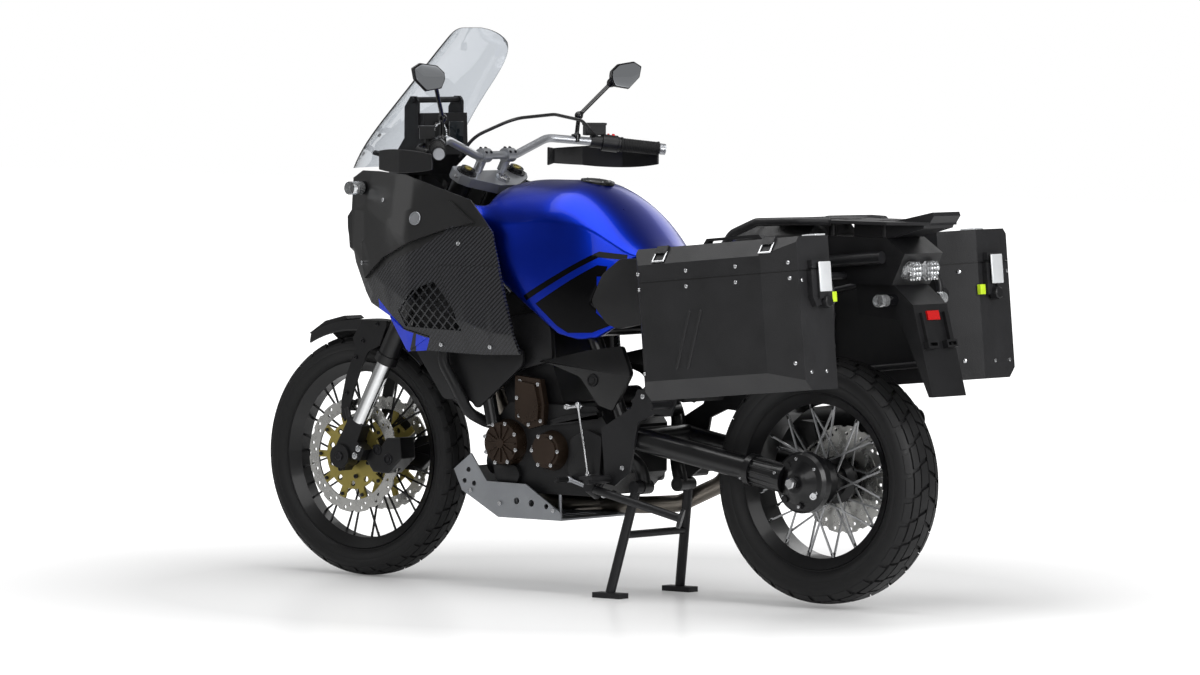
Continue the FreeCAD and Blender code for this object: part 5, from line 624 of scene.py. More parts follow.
def turned(name, section, centre, way, steps, material, body, smooth=35.0):
    """Spin a section of (radius, along) about an axis through centre along way."""
    centre, way = Vector(centre), Vector(way).normalized()
    out = way.orthogonal().normalized()
    corners = [centre + out * r + way * a for r, a in section]
    piece = drawn(name, corners, [(i, i + 1) for i in range(len(corners) - 1)])
    edit_all()
    bpy.ops.mesh.spin(steps=steps, angle=2 * math.pi, center=centre, axis=way)
    bpy.ops.mesh.select_all(action="SELECT")
    bpy.ops.mesh.remove_doubles(threshold=same_spot)
    close_edit(outwards=True)
    return settled(piece, name, material, body, smooth)


def copied(part, name):
    """A merged copy of a CAD part's mesh, free to work on."""
    piece = only(linked(name, parts[part].data.copy()))
    edit_all()
    bpy.ops.mesh.remove_doubles(threshold=same_spot)
    bpy.ops.mesh.customdata_custom_splitnormals_clear()
    close_edit()
    return piece


def soft_box(size, place, width, segments):
    """A box of a size about a place, with its edges bevelled to a width in so many segments."""
    bpy.ops.object.select_all(action="DESELECT")
    bpy.ops.mesh.primitive_cube_add(size=1.0, location=place)
    box = bpy.context.object
    box.scale = size
    bpy.ops.object.transform_apply(location=True, rotation=True, scale=True)
    edit_all()
    bpy.ops.mesh.bevel(offset=width, segments=segments)
    close_edit()
    return box


print("section, copy and box ready")

# %% [markdown]
# ## Bolts
# A bolt is modelled once, at radius one, and copied to each of its places. Places on the bodywork are found
# by looking at it from outside, so that a screw sits on the surface and leans as the surface does. Places
# typed in by hand would leave some screws floating.

# %% Bolt heads
def pattern_bolt(kind):
    """A bolt head of radius 1 along Z, seated at nought: round with a hex socket, hexagonal, or a rivet."""
    sides, insets = {
        "socket": (18, ((0.12, 0.08), (0.36, 0.0), (0.02, -0.4))),
        "hex": (6, ((0.12, 0.1), (0.22, 0.0), (0.05, -0.1))),
        "rivet": (14, ((0.34, 0.16), (0.34, 0.07))),
    }[kind]
    bpy.ops.object.select_all(action="DESELECT")
    bpy.ops.mesh.primitive_cylinder_add(vertices=sides, radius=1.0, depth=0.9, location=(0, 0, 0.3))
    bolt = bpy.context.object
    bpy.ops.object.transform_apply(location=True, rotation=True, scale=True)
    bpy.ops.object.mode_set(mode="EDIT")
    work = bmesh.from_edit_mesh(bolt.data)
    for face in work.faces:
        face.select_set(face.normal.z > 0.9)
    bmesh.update_edit_mesh(bolt.data)
    for thickness, depth in insets:
        bpy.ops.mesh.inset(thickness=thickness, depth=depth)
    close_edit()
    return bolt


def gathered(name, pattern, rows, material, body, smooth=35.0):
    """Copies of a pattern, each with its own mesh, set at (place, way, size) and kept as one piece."""
    whole = bmesh.new()
    for place, way, size in rows:
        turn = Vector(way).to_track_quat("Z", "Y").to_matrix().to_4x4()
        copy = pattern.data.copy()
        copy.transform(Matrix.Translation(Vector(place)) @ turn @ Matrix.Scale(size, 4))
        whole.from_mesh(copy)
        bpy.data.meshes.remove(copy)
    mesh = bpy.data.meshes.new(name)
    whole.to_mesh(mesh)
    whole.free()
    return settled(linked(name, mesh), name, material, body, smooth)


patterns = {kind: pattern_bolt(kind) for kind in ("socket", "hex", "rivet")}
print("bolt heads", [len(bolt.data.polygons) for bolt in patterns.values()])


# %% Find the surfaces
beside = 0.8


def tree_of(*names):
    """A search tree over some CAD parts, to find their surfaces."""
    corners, faces = [], []
    for name in names:
        mesh = parts[name].data
        base = len(corners)
        corners += [v.co.copy() for v in mesh.vertices]
        faces += [tuple(base + i for i in p.vertices) for p in mesh.polygons]
    return BVHTree.FromPolygons(corners, faces)


def seated(tree, start, way):
    """Where a line from start along way first meets a part: the place and the surface's outward way."""
    place, normal, _, _ = tree.ray_cast(Vector(start), Vector(way))
    if place is None:
        return None
    if normal.dot(Vector(way)) > 0:
        normal = -normal
    return place, normal


def seen_from_side(tree, spot, flank):
    """Where a part is met at (x, z) in side view, looked at from one flank."""
    return seated(tree, (spot[0], beside * flank, spot[1]), (0, -flank, 0))


def rows_of(hits, size):
    """Rows for bolts of one size, where a surface was met."""
    return [(*hit, size) for hit in hits if hit]


def flank_bolts(name, names, spots, size, material, body="chassis", kind="socket", flanks=(1, -1)):
    """Bolts on the machine's flanks at (x, z) in side view."""
    tree = tree_of(*names)
    hits = [seen_from_side(tree, spot, flank) for spot in spots for flank in flanks]
    return gathered(name, patterns[kind], rows_of(hits, size), material, body)


def circle(x, z, radius, count, turn=0.0):
    """Spots (x, z) on a bolt circle in side view."""
    angles = [2 * math.pi * index / count + turn for index in range(count)]
    return [(x + radius * math.cos(angle), z + radius * math.sin(angle)) for angle in angles]


print("a bolt circle of six", [round(x, 2) for x, z in circle(0, 0, 1, 6)])

# %% [markdown]
# ## Tyres
# A tyre is a spun carcass with tread blocks set on it in a rising pitch. The blocks follow the crown, and
# the grooves between them are open down to the carcass. Cutting grooves by boolean would be slow and leave
# thin slivers, so each block is built as its own small mesh. Sections are in millimetres from the axle.

# %% Helpers for tyres
def crown_radius(crown, y):
    """The radius of the tread's surface at a distance from the middle."""
    for (r0, a0), (r1, a1) in zip(crown, crown[1:]):
        if min(a0, a1) <= abs(y) <= max(a0, a1) and a0 != a1:
            return r0 + (r1 - r0) * (abs(y) - a0) / (a1 - a0)
    return crown[-1][0]


def tread_block(centre, crown, block, start, pitches, flank, depth):
    """Corners and faces of a block whose rows are (y, first share, last share) of one pitch."""
    columns = 4
    corners = []
    for sunk in (0.0, depth / 1000):
        for y, first, last in block:
            for column in range(columns):
                share = column / (columns - 1)
                angle = 2 * math.pi * (start + (first + (last - first) * share)) / pitches
                radius = crown_radius(crown, y) / 1000 - sunk
                corners.append(centre + Vector((radius * math.cos(angle), flank * y / 1000,
                                                radius * math.sin(angle))))
    top = [[row * columns + column for column in range(columns)] for row in range(len(block))]
    faces = [(a[c], a[c + 1], b[c + 1], b[c]) for a, b in zip(top, top[1:]) for c in range(columns - 1)]
    edge = top[0] + [row[-1] for row in top[1:]] + top[-1][-2::-1] + [row[0] for row in top[-2:0:-1]]
    down = len(block) * columns
    faces += [(a, a + down, b + down, b) for a, b in zip(edge, edge[1:] + edge[:1])]
    return corners, faces


def tyre(end, centre, crown, carcass, pitches, blocks, depth):
    """Carcass and tread blocks about the axle. The blocks of the two flanks are half a pitch apart."""
    centre = Vector(centre)
    half = [(r / 1000, a / 1000) for r, a in carcass]
    section = half + [(r, -a) for r, a in reversed(half)]
    piece = turned(end + "_tyre_carcass", section, centre, (0, 1, 0), 120, rubber, end + "_wheel", 40.0)
    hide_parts(end + "_tyre")
    corners, faces = [], []
    for index in range(pitches):
        for flank, shift in ((1, 0.0), (-1, 0.5)):
            for block in blocks:
                more, sides = tread_block(centre, crown, block, index + shift, pitches, flank, depth)
                faces += [tuple(len(corners) + i for i in face) for face in sides]
                corners += more
    tread = drawn(end + "_tread", corners, [], faces)
    edit_all()
    close_edit(outwards=True)
    settled(tread, end + "_tread_blocks", rubber, end + "_wheel", 30.0)
    print(end, "tyre with", len(faces), "faces of tread")


# %% Front tyre
front_axle = (0.796, 0.0, 0.3293)
front_crown = ((329.2, 0), (328.6, 14), (326.6, 26), (322.6, 36), (316.0, 45), (308.0, 52))
front_carcass = (
    (241.0, 27.0), (243.0, 30.5), (255.0, 34.5), (257.5, 37.5), (259.5, 37.6), (261.5, 40.5), (272.0, 48.0),
    (284.0, 53.0), (286.0, 52.6), (288.0, 54.0), (298.0, 55.2), (306.0, 51.6), (313.0, 43.0), (319.5, 31.0),
    (322.4, 17.0), (323.2, 0.0),
)
front_blocks = (
    ((1.2, 0.02, 0.86), (11.0, 0.08, 0.93), (20.0, 0.18, 1.04)),
    ((23.4, 0.30, 1.17), (31.0, 0.38, 1.24), (38.5, 0.42, 1.26)),
    ((41.0, 0.62, 1.44), (46.5, 0.66, 1.45), (51.6, 0.68, 1.43)),
)
tyre("front", front_axle, front_crown, front_carcass, 34, front_blocks, 6.5)

# %% Rear tyre
rear_crown = ((320.8, 0), (320.4, 20), (318.4, 38), (313.6, 52), (305.0, 64), (297.0, 71))
rear_carcass = (
    (216.0, 44.0), (218.0, 47.5), (229.0, 51.5), (231.5, 54.5), (233.5, 54.6), (236.0, 58.0), (248.0, 66.5),
    (262.0, 72.0), (264.0, 71.6), (266.0, 73.0), (282.0, 74.6), (294.0, 71.0), (302.5, 61.0), (310.0, 47.0),
    (313.6, 28.0), (314.6, 0.0),
)
rear_blocks = (
    ((1.6, 0.02, 0.86), (16.0, 0.10, 0.94), (29.0, 0.20, 1.05)),
    ((33.0, 0.32, 1.18), (43.0, 0.40, 1.26), (52.0, 0.44, 1.28)),
    ((55.5, 0.62, 1.44), (63.0, 0.66, 1.46), (70.2, 0.68, 1.44)),
)
tyre("rear", rear_axle, rear_crown, rear_carcass, 30, rear_blocks, 6.8)

# %% [markdown]
# ## Wheel details
# Each spoke ends in a nipple that stands out of the rim. Buttons let the braking ring float on its gold
# carrier, and bolts hold the carrier to the hub. All of them sit on circles about an axle, so one function
# works out their places.

# %% Nipples, disc buttons and axle nuts
def ring_rows(centre, radius, y, count, size, way=None, offset=0.0):
    """Places on a circle about an axle, which face one way or, with none given, the axle."""
    rows = []
    for index in range(count):
        turn = 2 * math.pi * (index + offset) / count
        out = Vector((math.cos(turn), 0, math.sin(turn)))
        rows.append((Vector(centre) + out * radius + Vector((0, y, 0)), way or -out, size))
    return rows


bpy.ops.object.select_all(action="DESELECT")
bpy.ops.mesh.primitive_cone_add(vertices=8, radius1=1.0, radius2=0.62, depth=4.2, location=(0, 0, 1.6))
nipple = bpy.context.object
bpy.ops.object.transform_apply(location=True, rotation=True, scale=True)
nipple_radius = 0.0033
for end, axle, rim_in, spread, tone in (("front", front_axle, 0.2262, 0.011, dark_bolt),
                                        ("rear", rear_axle, 0.2012, 0.028, spoke_steel)):
    rows = ring_rows(axle, rim_in, spread, 16, nipple_radius, offset=0.5)
    rows += ring_rows(axle, rim_in, -spread, 16, nipple_radius)
    gathered(end + "_spoke_nipples", nipple, rows, tone, end + "_wheel")
bpy.data.objects.remove(nipple)

front_disc_face, rear_disc_face = 0.0725, -0.0727
for flank, hand in HANDS:
    rows = ring_rows(front_axle, 0.1115, flank * front_disc_face, 10, 0.0052, (0, flank, 0))
    gathered("front_disc_buttons_" + hand, patterns["rivet"], rows, dark_bolt, "front_wheel")
    rows = ring_rows(front_axle, 0.058, flank * (front_disc_face - 0.0005), 6, 0.0062, (0, flank, 0), 0.3)
    gathered("front_disc_bolts_" + hand, patterns["socket"], rows, dark_bolt, "front_wheel")
rows = ring_rows(rear_axle, 0.078, rear_disc_face, 6, 0.0062, (0, -1, 0), 0.2)
gathered("rear_disc_bolts", patterns["socket"], rows, dark_bolt, "rear_wheel")

fork_foot_face, drive_face = 0.131, 0.1635
for flank, hand in HANDS:
    turned("front_axle_nut_" + hand, ((0.0001, 0.006), (0.0095, 0.006), (0.0125, 0.0035), (0.0125, -0.002)),
           (front_axle[0], flank * fork_foot_face, front_axle[2]), (0, flank, 0), 6, dark_bolt, "steering",
           20.0)
turned("rear_axle_nut", ((0.0001, 0.010), (0.0125, 0.010), (0.0155, 0.0070), (0.0155, -0.004)),
       (rear_axle[0], drive_face, rear_axle[2]), (0, 1, 0), 6, bolt_steel, "chassis", 20.0)
print("wheel details done")

# %% [markdown]
# ## Tank
# The tank's sheet is pressed steel, so its edges are soft. Subdividing the CAD mesh would keep its long thin
# triangles, so a merged copy is remeshed finely and relaxed a little, which rounds the creases and keeps the
# form. The filler cap is turned, with a ring of seven screws.

# %% Soften the tank
def remeshed(part, name, cell, rounds):
    """A copy of a CAD part with an even mesh of cell, eased so many rounds."""
    piece = copied(part, name)
    piece.data.remesh_voxel_size = cell
    bpy.ops.object.voxel_remesh()
    ease = piece.modifiers.new("ease", "SMOOTH")
    ease.factor = 0.5
    ease.iterations = rounds
    bpy.ops.object.modifier_apply(modifier="ease")
    return piece


def settled_smooth(piece, name, material, body):
    """Settle a piece and shade all of it smoothly."""
    settled(piece, name, material, body, 0)
    bpy.ops.object.shade_smooth()
    return piece


def relaxed(part, name, cell, rounds, material, body):
    """A fine, relaxed copy of a CAD part that stands for it."""
    piece = settled_smooth(remeshed(part, name, cell, rounds), name, material, body)
    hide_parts(part)
    return piece


tank = relaxed("fuel_tank", "fuel_tank_shell", 0.0045, 9, tank_paint, "chassis")
cap_place, cap_way = seated(tree_of("fuel_tank"), (0.02, 0.0, 1.4), (0, 0, -1))
turned("fuel_cap", ((0.0001, 0.0038), (0.030, 0.0038), (0.0325, 0.003), (0.0335, 0.0018), (0.044, 0.0016),
                    (0.0455, 0.0004), (0.0455, -0.006)), cap_place, cap_way, 40, black_alloy, "chassis")
screw_circle, cap_rise = 0.0388, 0.0012
out = cap_way.orthogonal().normalized()
rows = [(cap_place + Matrix.Rotation(2 * math.pi * index / 7, 3, cap_way) @ out * screw_circle
         + cap_way * cap_rise, cap_way, 0.0024) for index in range(7)]
gathered("fuel_cap_screws", patterns["socket"], rows, bolt_steel, "chassis")
print("tank", len(tank.data.polygons), "faces")

# %% [markdown]
# ## Seats
# The seats are foam under vinyl. Each starts from a copy of its CAD form, a little smaller, and a cloth
# simulation with air inside swells it until the cover is tight. Sculpting could do the same, but the cloth
# finds the fullness by itself.

# %% Pad the seats
def inflated(part, name, cell=0.006, shrink=0.004, pressure=4.0, most=0.006):
    """A padded copy of a CAD cushion: remeshed, swollen as cloth, and held near where it began."""
    piece = remeshed(part, name, cell, 6)
    for vertex, normal in [(v, v.normal.copy()) for v in piece.data.vertices]:
        vertex.co -= normal * shrink
    start = [v.co.copy() for v in piece.data.vertices]
    cloth = piece.modifiers.new("cloth", "CLOTH")
    cloth.settings.use_pressure = True
    cloth.settings.uniform_pressure_force = pressure
    cloth.settings.effector_weights.gravity = 0.0
    cloth.settings.quality = 5
    for count in range(1, 21):
        scene.frame_set(count)
    now = piece.evaluated_get(bpy.context.evaluated_depsgraph_get()).to_mesh()
    moved = [v.co.copy() for v in now.vertices]
    piece.modifiers.remove(cloth)
    for vertex, old, new in zip(piece.data.vertices, start, moved):
        step = new - old
        if step.length > most:
            step = step.normalized() * most
        vertex.co = old + step
    scene.frame_set(1)
    finer = piece.modifiers.new("finer", "SUBSURF")
    finer.levels = finer.render_levels = 1
    bpy.ops.object.modifier_apply(modifier="finer")
    settled_smooth(piece, name, seat_vinyl, "chassis")
    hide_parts(part)
    return piece


rider_pad = inflated("rider_seat", "rider_seat_pad")
pillion_pad = inflated("pillion_seat", "pillion_seat_pad")
print("pads", len(rider_pad.data.polygons), "and", len(pillion_pad.data.polygons), "faces")

# %% [markdown]
# ## Seams of the seats
# Where two panels of a cover meet, a welt is sewn between them: vinyl folded round a thin cord. It is laid
# on the finished pad as a curve with a round bevel, because its path is found by looking down on the pad.

# %% Lay the welts
def welt(name, pad, spots):
    """A sewn welt: a thin closed cord laid on a pad along spots seen from above."""
    above, proud, steps = 1.3, 0.0004, 12
    corners = [tuple(v.co) for v in pad.data.vertices]
    tree = BVHTree.FromPolygons(corners, [tuple(p.vertices) for p in pad.data.polygons])
    data = bpy.data.curves.new(name, "CURVE")
    data.dimensions = "3D"
    data.bevel_depth = 0.0022
    data.bevel_resolution = 2
    line = data.splines.new("POLY")
    hits = []
    for (x0, y0), (x1, y1) in zip(spots, spots[1:]):
        for index in range(steps):
            share = index / steps
            hit = seated(tree, (x0 + (x1 - x0) * share, y0 + (y1 - y0) * share, above), (0, 0, -1))
            if hit:
                hits.append(hit[0] + Vector((0, 0, proud)))
    line.points.add(len(hits) - 1)
    for point, place in zip(line.points, hits):
        point.co = (*place, 1.0)
    piece = linked(name, data)
    data.materials.append(seat_vinyl)
    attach(piece, "chassis")


welts = (
    ("rider_seat_front_welt", rider_pad, -0.262, -0.255, 0.098),
    ("rider_seat_rear_welt", rider_pad, -0.405, -0.415, 0.118),
    ("pillion_seat_front_welt", pillion_pad, -0.522, -0.515, 0.088),
    ("pillion_seat_rear_welt", pillion_pad, -0.69, -0.70, 0.098),
)
for name, pad, middle_x, end_x, half_width in welts:
    welt(name, pad, ((end_x, -half_width), (middle_x, 0.0), (end_x, half_width)))
print(len(welts), "welts sewn")

# %% [markdown]
# ## Grips and switches
# The grips are soft rubber sleeves with fine rings, closed by a grey end weight. A ring is four points in
# the section that is spun, so a loop draws all of them at once. The buttons and bolts sit on the switch pods
# and the lever perches.

# %% Grips, end weights and switches
bar_end = Vector((0.17602, 0.480, 1.16604))
bar_bend = Vector((0.28802, 0.350, 1.18404))
grip_length, ring_pitch = 0.116, 0.0045
grip_section = [(0.0172, 0.004), (0.0205, 0.004), (0.0205, 0.0085)]
along = 0.0105
while along < 0.102:
    grip_section += [(0.0176, along), (0.0184, along + 0.0007), (0.0184, along + 0.0022),
                     (0.0176, along + 0.0029)]
    along += ring_pitch
grip_section += [(0.0196, 0.1065), (0.0196, 0.1095), (0.0174, 0.1105)]
weight_section = ((0.0152, -0.004), (0.0152, 0.006), (0.0140, 0.0125), (0.0062, 0.0130), (0.0055, 0.0085),
                  (0.0001, 0.0085))
pod_rise, perch_rise = 0.0225, Vector((0, 0, 0.0166))
for flank, hand in HANDS:
    end_place = Vector((bar_end.x, flank * bar_end.y, bar_end.z))
    way = (end_place - Vector((bar_bend.x, flank * bar_bend.y, bar_bend.z))).normalized()
    start = end_place - way * grip_length
    turned("grip_sleeve_" + hand, grip_section, start, way, 40, grip_rubber, "steering", 30.0)
    turned("bar_end_weight_" + hand, weight_section, end_place, way, 32, silver_alloy, "steering")
    across = Vector((0, 0, 1)).cross(way).normalized()
    upward = way.cross(across).normalized()
    pod = start - way * 0.020 + upward * pod_rise
    rows = [(pod + across * 0.006 * flank, upward, 0.0042),
            (pod - way * 0.011 - across * 0.008 * flank, upward, 0.0034)]
    gathered("switch_buttons_" + hand, patterns["rivet"], rows, switch_red if flank < 0 else dark_bolt,
             "steering")
    perch = start - way * 0.0585 + perch_rise
    rows = [(perch + way * shift, (0, 0, 1), 0.0035) for shift in (0.010, -0.010)]
    gathered("perch_bolts_" + hand, patterns["socket"], rows, dark_bolt, "steering")
print("grips with", len(grip_section), "points in their section")

# %% [markdown]
# ## Fork top
# Four bolts clamp the bar on each side, a big nut closes the steering stem, and a gold adjuster sits in the
# top of each fork tube. They all lean with the fork, so their places are counted from the front axle along
# the fork and across it.

# %% Bar clamps, stem nut and fork adjusters
rake = math.radians(28)
fork_up = Vector((-math.sin(rake), 0, math.cos(rake)))
fork_out = Vector((fork_up.z, 0, -fork_up.x))
bar_middle = Vector((0.36602, 0, 1.15204))
clamp_y, clamp_top = 0.052, 0.0150
rows = []
for flank in (1, -1):
    for shift in (0.0105, -0.0105):
        middle = bar_middle + Vector((0, flank * clamp_y + shift, 0)) + fork_up * clamp_top
        rows += [(middle + fork_out * ahead, fork_up, 0.0042) for ahead in (0.0112, -0.0112)]
gathered("bar_clamp_bolts", patterns["socket"], rows, dark_bolt, "steering")
stem_top = Vector(front_axle) + fork_up * 0.881 - fork_out * 0.0434
turned("steering_stem_nut", ((0.0001, 0.009), (0.008, 0.009), (0.0085, 0.012), (0.017, 0.012),
                             (0.0195, 0.009), (0.0195, -0.004)), stem_top, fork_up, 6, bolt_steel,
       "steering", 20.0)
fork_y, fork_top = 0.105, 0.894
for flank, hand in HANDS:
    cap = Vector((front_axle[0], flank * fork_y, front_axle[2])) + fork_up * fork_top
    turned("fork_adjuster_" + hand, ((0.0001, 0.0045), (0.0035, 0.0045), (0.004, 0.003), (0.0105, 0.003),
                                     (0.0115, 0.0015), (0.0115, -0.003)), cap, fork_up, 6, gold_anodised,
           "steering", 20.0)
print("fork top bolted")

# %% [markdown]
# ## Mirrors
# A mirror is a flat glass set in a black shell. The glass takes the shell's outline, a little smaller, with
# round corners and a thin rim. The shell is a softened copy of its CAD form, as a moulding has no sharp edge.

# %% Mirror glass and shells
mirror_x, mirror_y, mirror_z = 0.2535, 0.420, 1.365
shell_half, glass_share = 0.062, 0.88
mirror_shape = ((-1.05, -0.1), (-0.8, -0.5), (0.3, -0.62), (1.1, -0.1), (1.25, 0.4), (0.7, 0.62), (-0.5, 0.5),
                (-1.0, 0.2))
for flank, hand in HANDS:
    corners = [(mirror_x, flank * (mirror_y + shell_half * across * glass_share),
                mirror_z + shell_half * rise * glass_share) for across, rise in mirror_shape]
    glass = drawn("mirror_glass_" + hand, corners, [], [tuple(range(len(mirror_shape)))])
    edit_all()
    bpy.ops.mesh.bevel(offset=0.0065, segments=5, affect="VERTICES", clamp_overlap=True)
    bpy.ops.mesh.select_all(action="SELECT")
    bpy.ops.mesh.extrude_region_move(TRANSFORM_OT_translate={"value": (-0.0012, 0, 0)})
    bpy.ops.mesh.inset(thickness=0.0018, depth=0.0006)
    close_edit(outwards=True)
    settled(glass, "mirror_glass_" + hand, mirror_glass, "steering", 20.0)
shells = relaxed("mirrors", "mirror_shells", 0.0018, 16, smooth_black, "steering")
print("mirror shells", len(shells.data.polygons), "faces")

# %% [markdown]
# ## Lamps
# Each headlamp has a bright bowl and a bulb behind its lens, both turned. The tail lamps are clear with rows
# of small bright cells, for which the rivet's head is the right form.

# %% Lamps
lamp_glow = surface("frosted_bulb_glass", "#e8ebf0", "#f6f8fa", 0.25, grain=1.0, relief=0.02)
bowl_section = ((0.007, -0.004), (0.014, -0.0015), (0.022, 0.003), (0.027, 0.009), (0.0285, 0.014),
                (0.0295, 0.014))
bulb_section = ((0.0001, 0.012), (0.0035, 0.011), (0.0055, 0.0075), (0.0055, -0.003))
for flank, hand in HANDS:
    bowl = (0.7755, flank * 0.050, 0.935)
    turned("headlamp_bowl_" + hand, bowl_section, bowl, (1, 0, 0), 36, chrome, "chassis")
    turned("headlamp_bulb_" + hand, bulb_section, bowl, (1, 0, 0), 20, lamp_glow, "chassis")
cell_step, cell_rise, cell_lean = 0.0122, 0.0125, 0.0006
cells = [((-1.0385 + cell_lean * row, flank * (0.021 + cell_step * column), 0.866 + cell_rise * row),
          (-1, 0, 0), 0.0052) for flank in (1, -1) for row in range(4) for column in range(4)]
gathered("tail_lamp_cells", patterns["rivet"], cells, chrome, "chassis")
print("lamps filled,", len(cells), "cells at the tail")

# %% [markdown]
# ## Instruments
# The dash shows a round gauge with plain ticks and a dark display. The ticks are worked out along an arc,
# and every third is larger. Nothing is written on it.

# %% Gauge and display
dash_face, gauge_y, dash_z = 0.5362, 0.030, 1.206
gauge_radius, tick_radius = 0.036, 0.028
first_tick, tick_turn = 225, 11.25
turned("rev_counter_bezel",
       ((gauge_radius, -0.002), (gauge_radius, 0.003), (gauge_radius * 0.95, 0.0045),
        (gauge_radius * 0.9, 0.003), (gauge_radius * 0.88, 0.0008), (0.0001, 0.0006)),
       (dash_face, gauge_y, dash_z), (-1, 0, 0), 48, smooth_black, "chassis")
ticks = []
for index in range(25):
    turn = math.radians(first_tick - index * tick_turn)
    spot = (dash_face - 0.0012, gauge_y + tick_radius * math.cos(turn), dash_z + tick_radius * math.sin(turn))
    ticks.append((spot, (-1, 0, 0), 0.0015 if index % 3 else 0.0024))
gathered("rev_counter_ticks", patterns["rivet"], ticks, lamp_glow, "chassis")
# Display glass is dark and nearly a mirror.
screen_glass = surface("dark_display_glass", "#0b0f12", "#12181c", 0.08, grain=4.0, relief=0.01)
display = soft_box((0.005, 0.062, 0.066), (dash_face - 0.0005, -0.038, dash_z), 0.0018, 3)
settled(display, "dash_display", screen_glass, "chassis")
print("dash set with", len(ticks), "ticks")

# %% [markdown]
# ## Softer panels
# The moulded panels bend in wide curves. Merged copies of them are shaded smoothly up to an angle, so that
# only the true creases stay sharp. Caliper bodies are castings, so they are remeshed and eased like the tank.

# %% Shade the panels softly
def softened(part, name, material, body, angle):
    """A merged copy of a CAD part with soft shading, which stands for it."""
    piece = settled(copied(part, name), name, material, body, angle)
    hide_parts(part)


softened("side_fairings", "side_fairing_shells", carbon_look, "chassis", 62.0)
softened("nose_cowl", "nose_cowl_shell", moulded_black, "chassis", 42.0)
softened("front_fender", "front_fender_shell", moulded_black, "steering", 40.0)
softened("tail_unit", "tail_shell", moulded_black, "chassis", 30.0)
calipers = relaxed("front_calipers", "front_caliper_bodies", 0.0018, 10, black_alloy, "steering")
print("caliper bodies", len(calipers.data.polygons), "faces")

# %% [markdown]
# ## Hand guards
# The guards taper to both ends like the bow of a boat. Scaling in edit mode would shrink them evenly, so
# each point is drawn towards the guard's middle height by a share that follows a sine along its length.

# %% Taper the hand guards
guards = remeshed("hand_guards", "hand_guard_shells", 0.0022, 5)
guard_low, guard_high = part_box("hand_guards")
guard_mid = (guard_low[2] + guard_high[2]) / 2
end_height = 0.30
for vertex in guards.data.vertices:
    back = min(max((vertex.co.x - guard_low[0]) / (guard_high[0] - guard_low[0]), 0.0), 1.0)
    keep = end_height + (1.0 - end_height) * math.sin(math.pi * min(back * 0.80 + 0.10, 1.0)) ** 0.6
    vertex.co.z = guard_mid + (vertex.co.z - guard_mid) * keep
settled_smooth(guards, "hand_guard_shells", moulded_black, "steering")
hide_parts("hand_guards")
print("guards tapered about", round(guard_mid, 3))

# %% [markdown]
# ## Plates on the flanks
# Flat castings and covers are drawn in side view, thickened, given a stepped rim and a soft edge, and then
# mirrored to the other side where the machine has both. An inset on the outer face gives the rim without
# drawing a second outline.

# %% A plate with a rim
def flank_plate(name, corners, face_y, depth, rim, rise, material, both=True):
    """A round-cornered plate whose outer face lies face_y from the middle, with a rim and a raised field."""
    piece = drawn(name, [(x, face_y, z) for x, z in corners], [], [tuple(range(len(corners)))])
    edit_all()
    bpy.ops.mesh.bevel(offset=0.009, segments=4, affect="VERTICES")
    bpy.ops.mesh.select_all(action="SELECT")
    bpy.ops.mesh.extrude_region_move(TRANSFORM_OT_translate={"value": (0, -depth, 0)})
    close_edit(outwards=True)
    for face in piece.data.polygons:
        face.select = len(face.vertices) > 4 and face.center.y > face_y - depth / 2
    bpy.ops.object.mode_set(mode="EDIT")
    bpy.ops.mesh.inset(thickness=rim, depth=0.0)
    bpy.ops.mesh.inset(thickness=rim * 0.5, depth=rise)
    close_edit()
    edge = piece.modifiers.new("edge", "BEVEL")
    edge.width = min(0.002, depth / 4)
    edge.segments = 2
    edge.limit_method = "ANGLE"
    edge.angle_limit = math.radians(40)
    bpy.ops.object.modifier_apply(modifier="edge")
    if both:
        twin = only(linked(name + "_right", piece.data.copy()))
        edit_all()
        bpy.ops.transform.mirror(constraint_axis=(False, True, False), center_override=(0, 0, 0))
        bpy.ops.mesh.normals_make_consistent(inside=False)
        close_edit()
        settled(twin, name + "_right", material, "chassis")
        name += "_left"
    settled(piece, name, material, "chassis")


print("plate tool ready")

# %% Panels and castings
flank_plate("side_panel", ((-0.436, 0.774), (-0.436, 0.800), (-0.318, 0.836), (-0.292, 0.880),
                           (-0.250, 0.894), (-0.198, 0.892), (-0.142, 0.852), (-0.106, 0.780),
                           (-0.158, 0.724), (-0.192, 0.714), (-0.330, 0.742)),
            0.182, 0.022, 0.012, 0.003, moulded_black)
flank_plate("frame_plate", ((0.105, 0.614), (-0.060, 0.650), (-0.172, 0.666), (-0.205, 0.592),
                            (-0.146, 0.490), (-0.096, 0.503), (-0.034, 0.576), (0.050, 0.602)),
            0.144, 0.020, 0.010, -0.002, black_alloy)
flank_plate("air_deflector", ((0.500, 0.630), (0.478, 0.690), (0.300, 0.690), (0.140, 0.640),
                              (0.140, 0.604), (0.246, 0.518), (0.292, 0.482), (0.310, 0.502),
                              (0.405, 0.505), (0.470, 0.590)),
            0.166, 0.008, 0.012, 0.002, moulded_black)
flank_plate("gear_housing", ((-0.100, 0.296), (-0.018, 0.300), (0.000, 0.330), (-0.008, 0.412),
                             (-0.060, 0.436), (-0.108, 0.420)),
            0.141, 0.014, 0.006, 0.003, engine_black)
flank_plate("head_side_cover", ((0.066, 0.618), (0.215, 0.580), (0.262, 0.640), (0.252, 0.716),
                                (0.110, 0.742), (0.072, 0.700)),
            0.133, 0.012, 0.007, 0.003, engine_black)
flank_plate("pump_housing", ((0.176, 0.286), (0.240, 0.290), (0.250, 0.330), (0.180, 0.332),
                             (0.165, 0.310)),
            0.142, 0.014, 0.004, 0.003, engine_black, both=False)
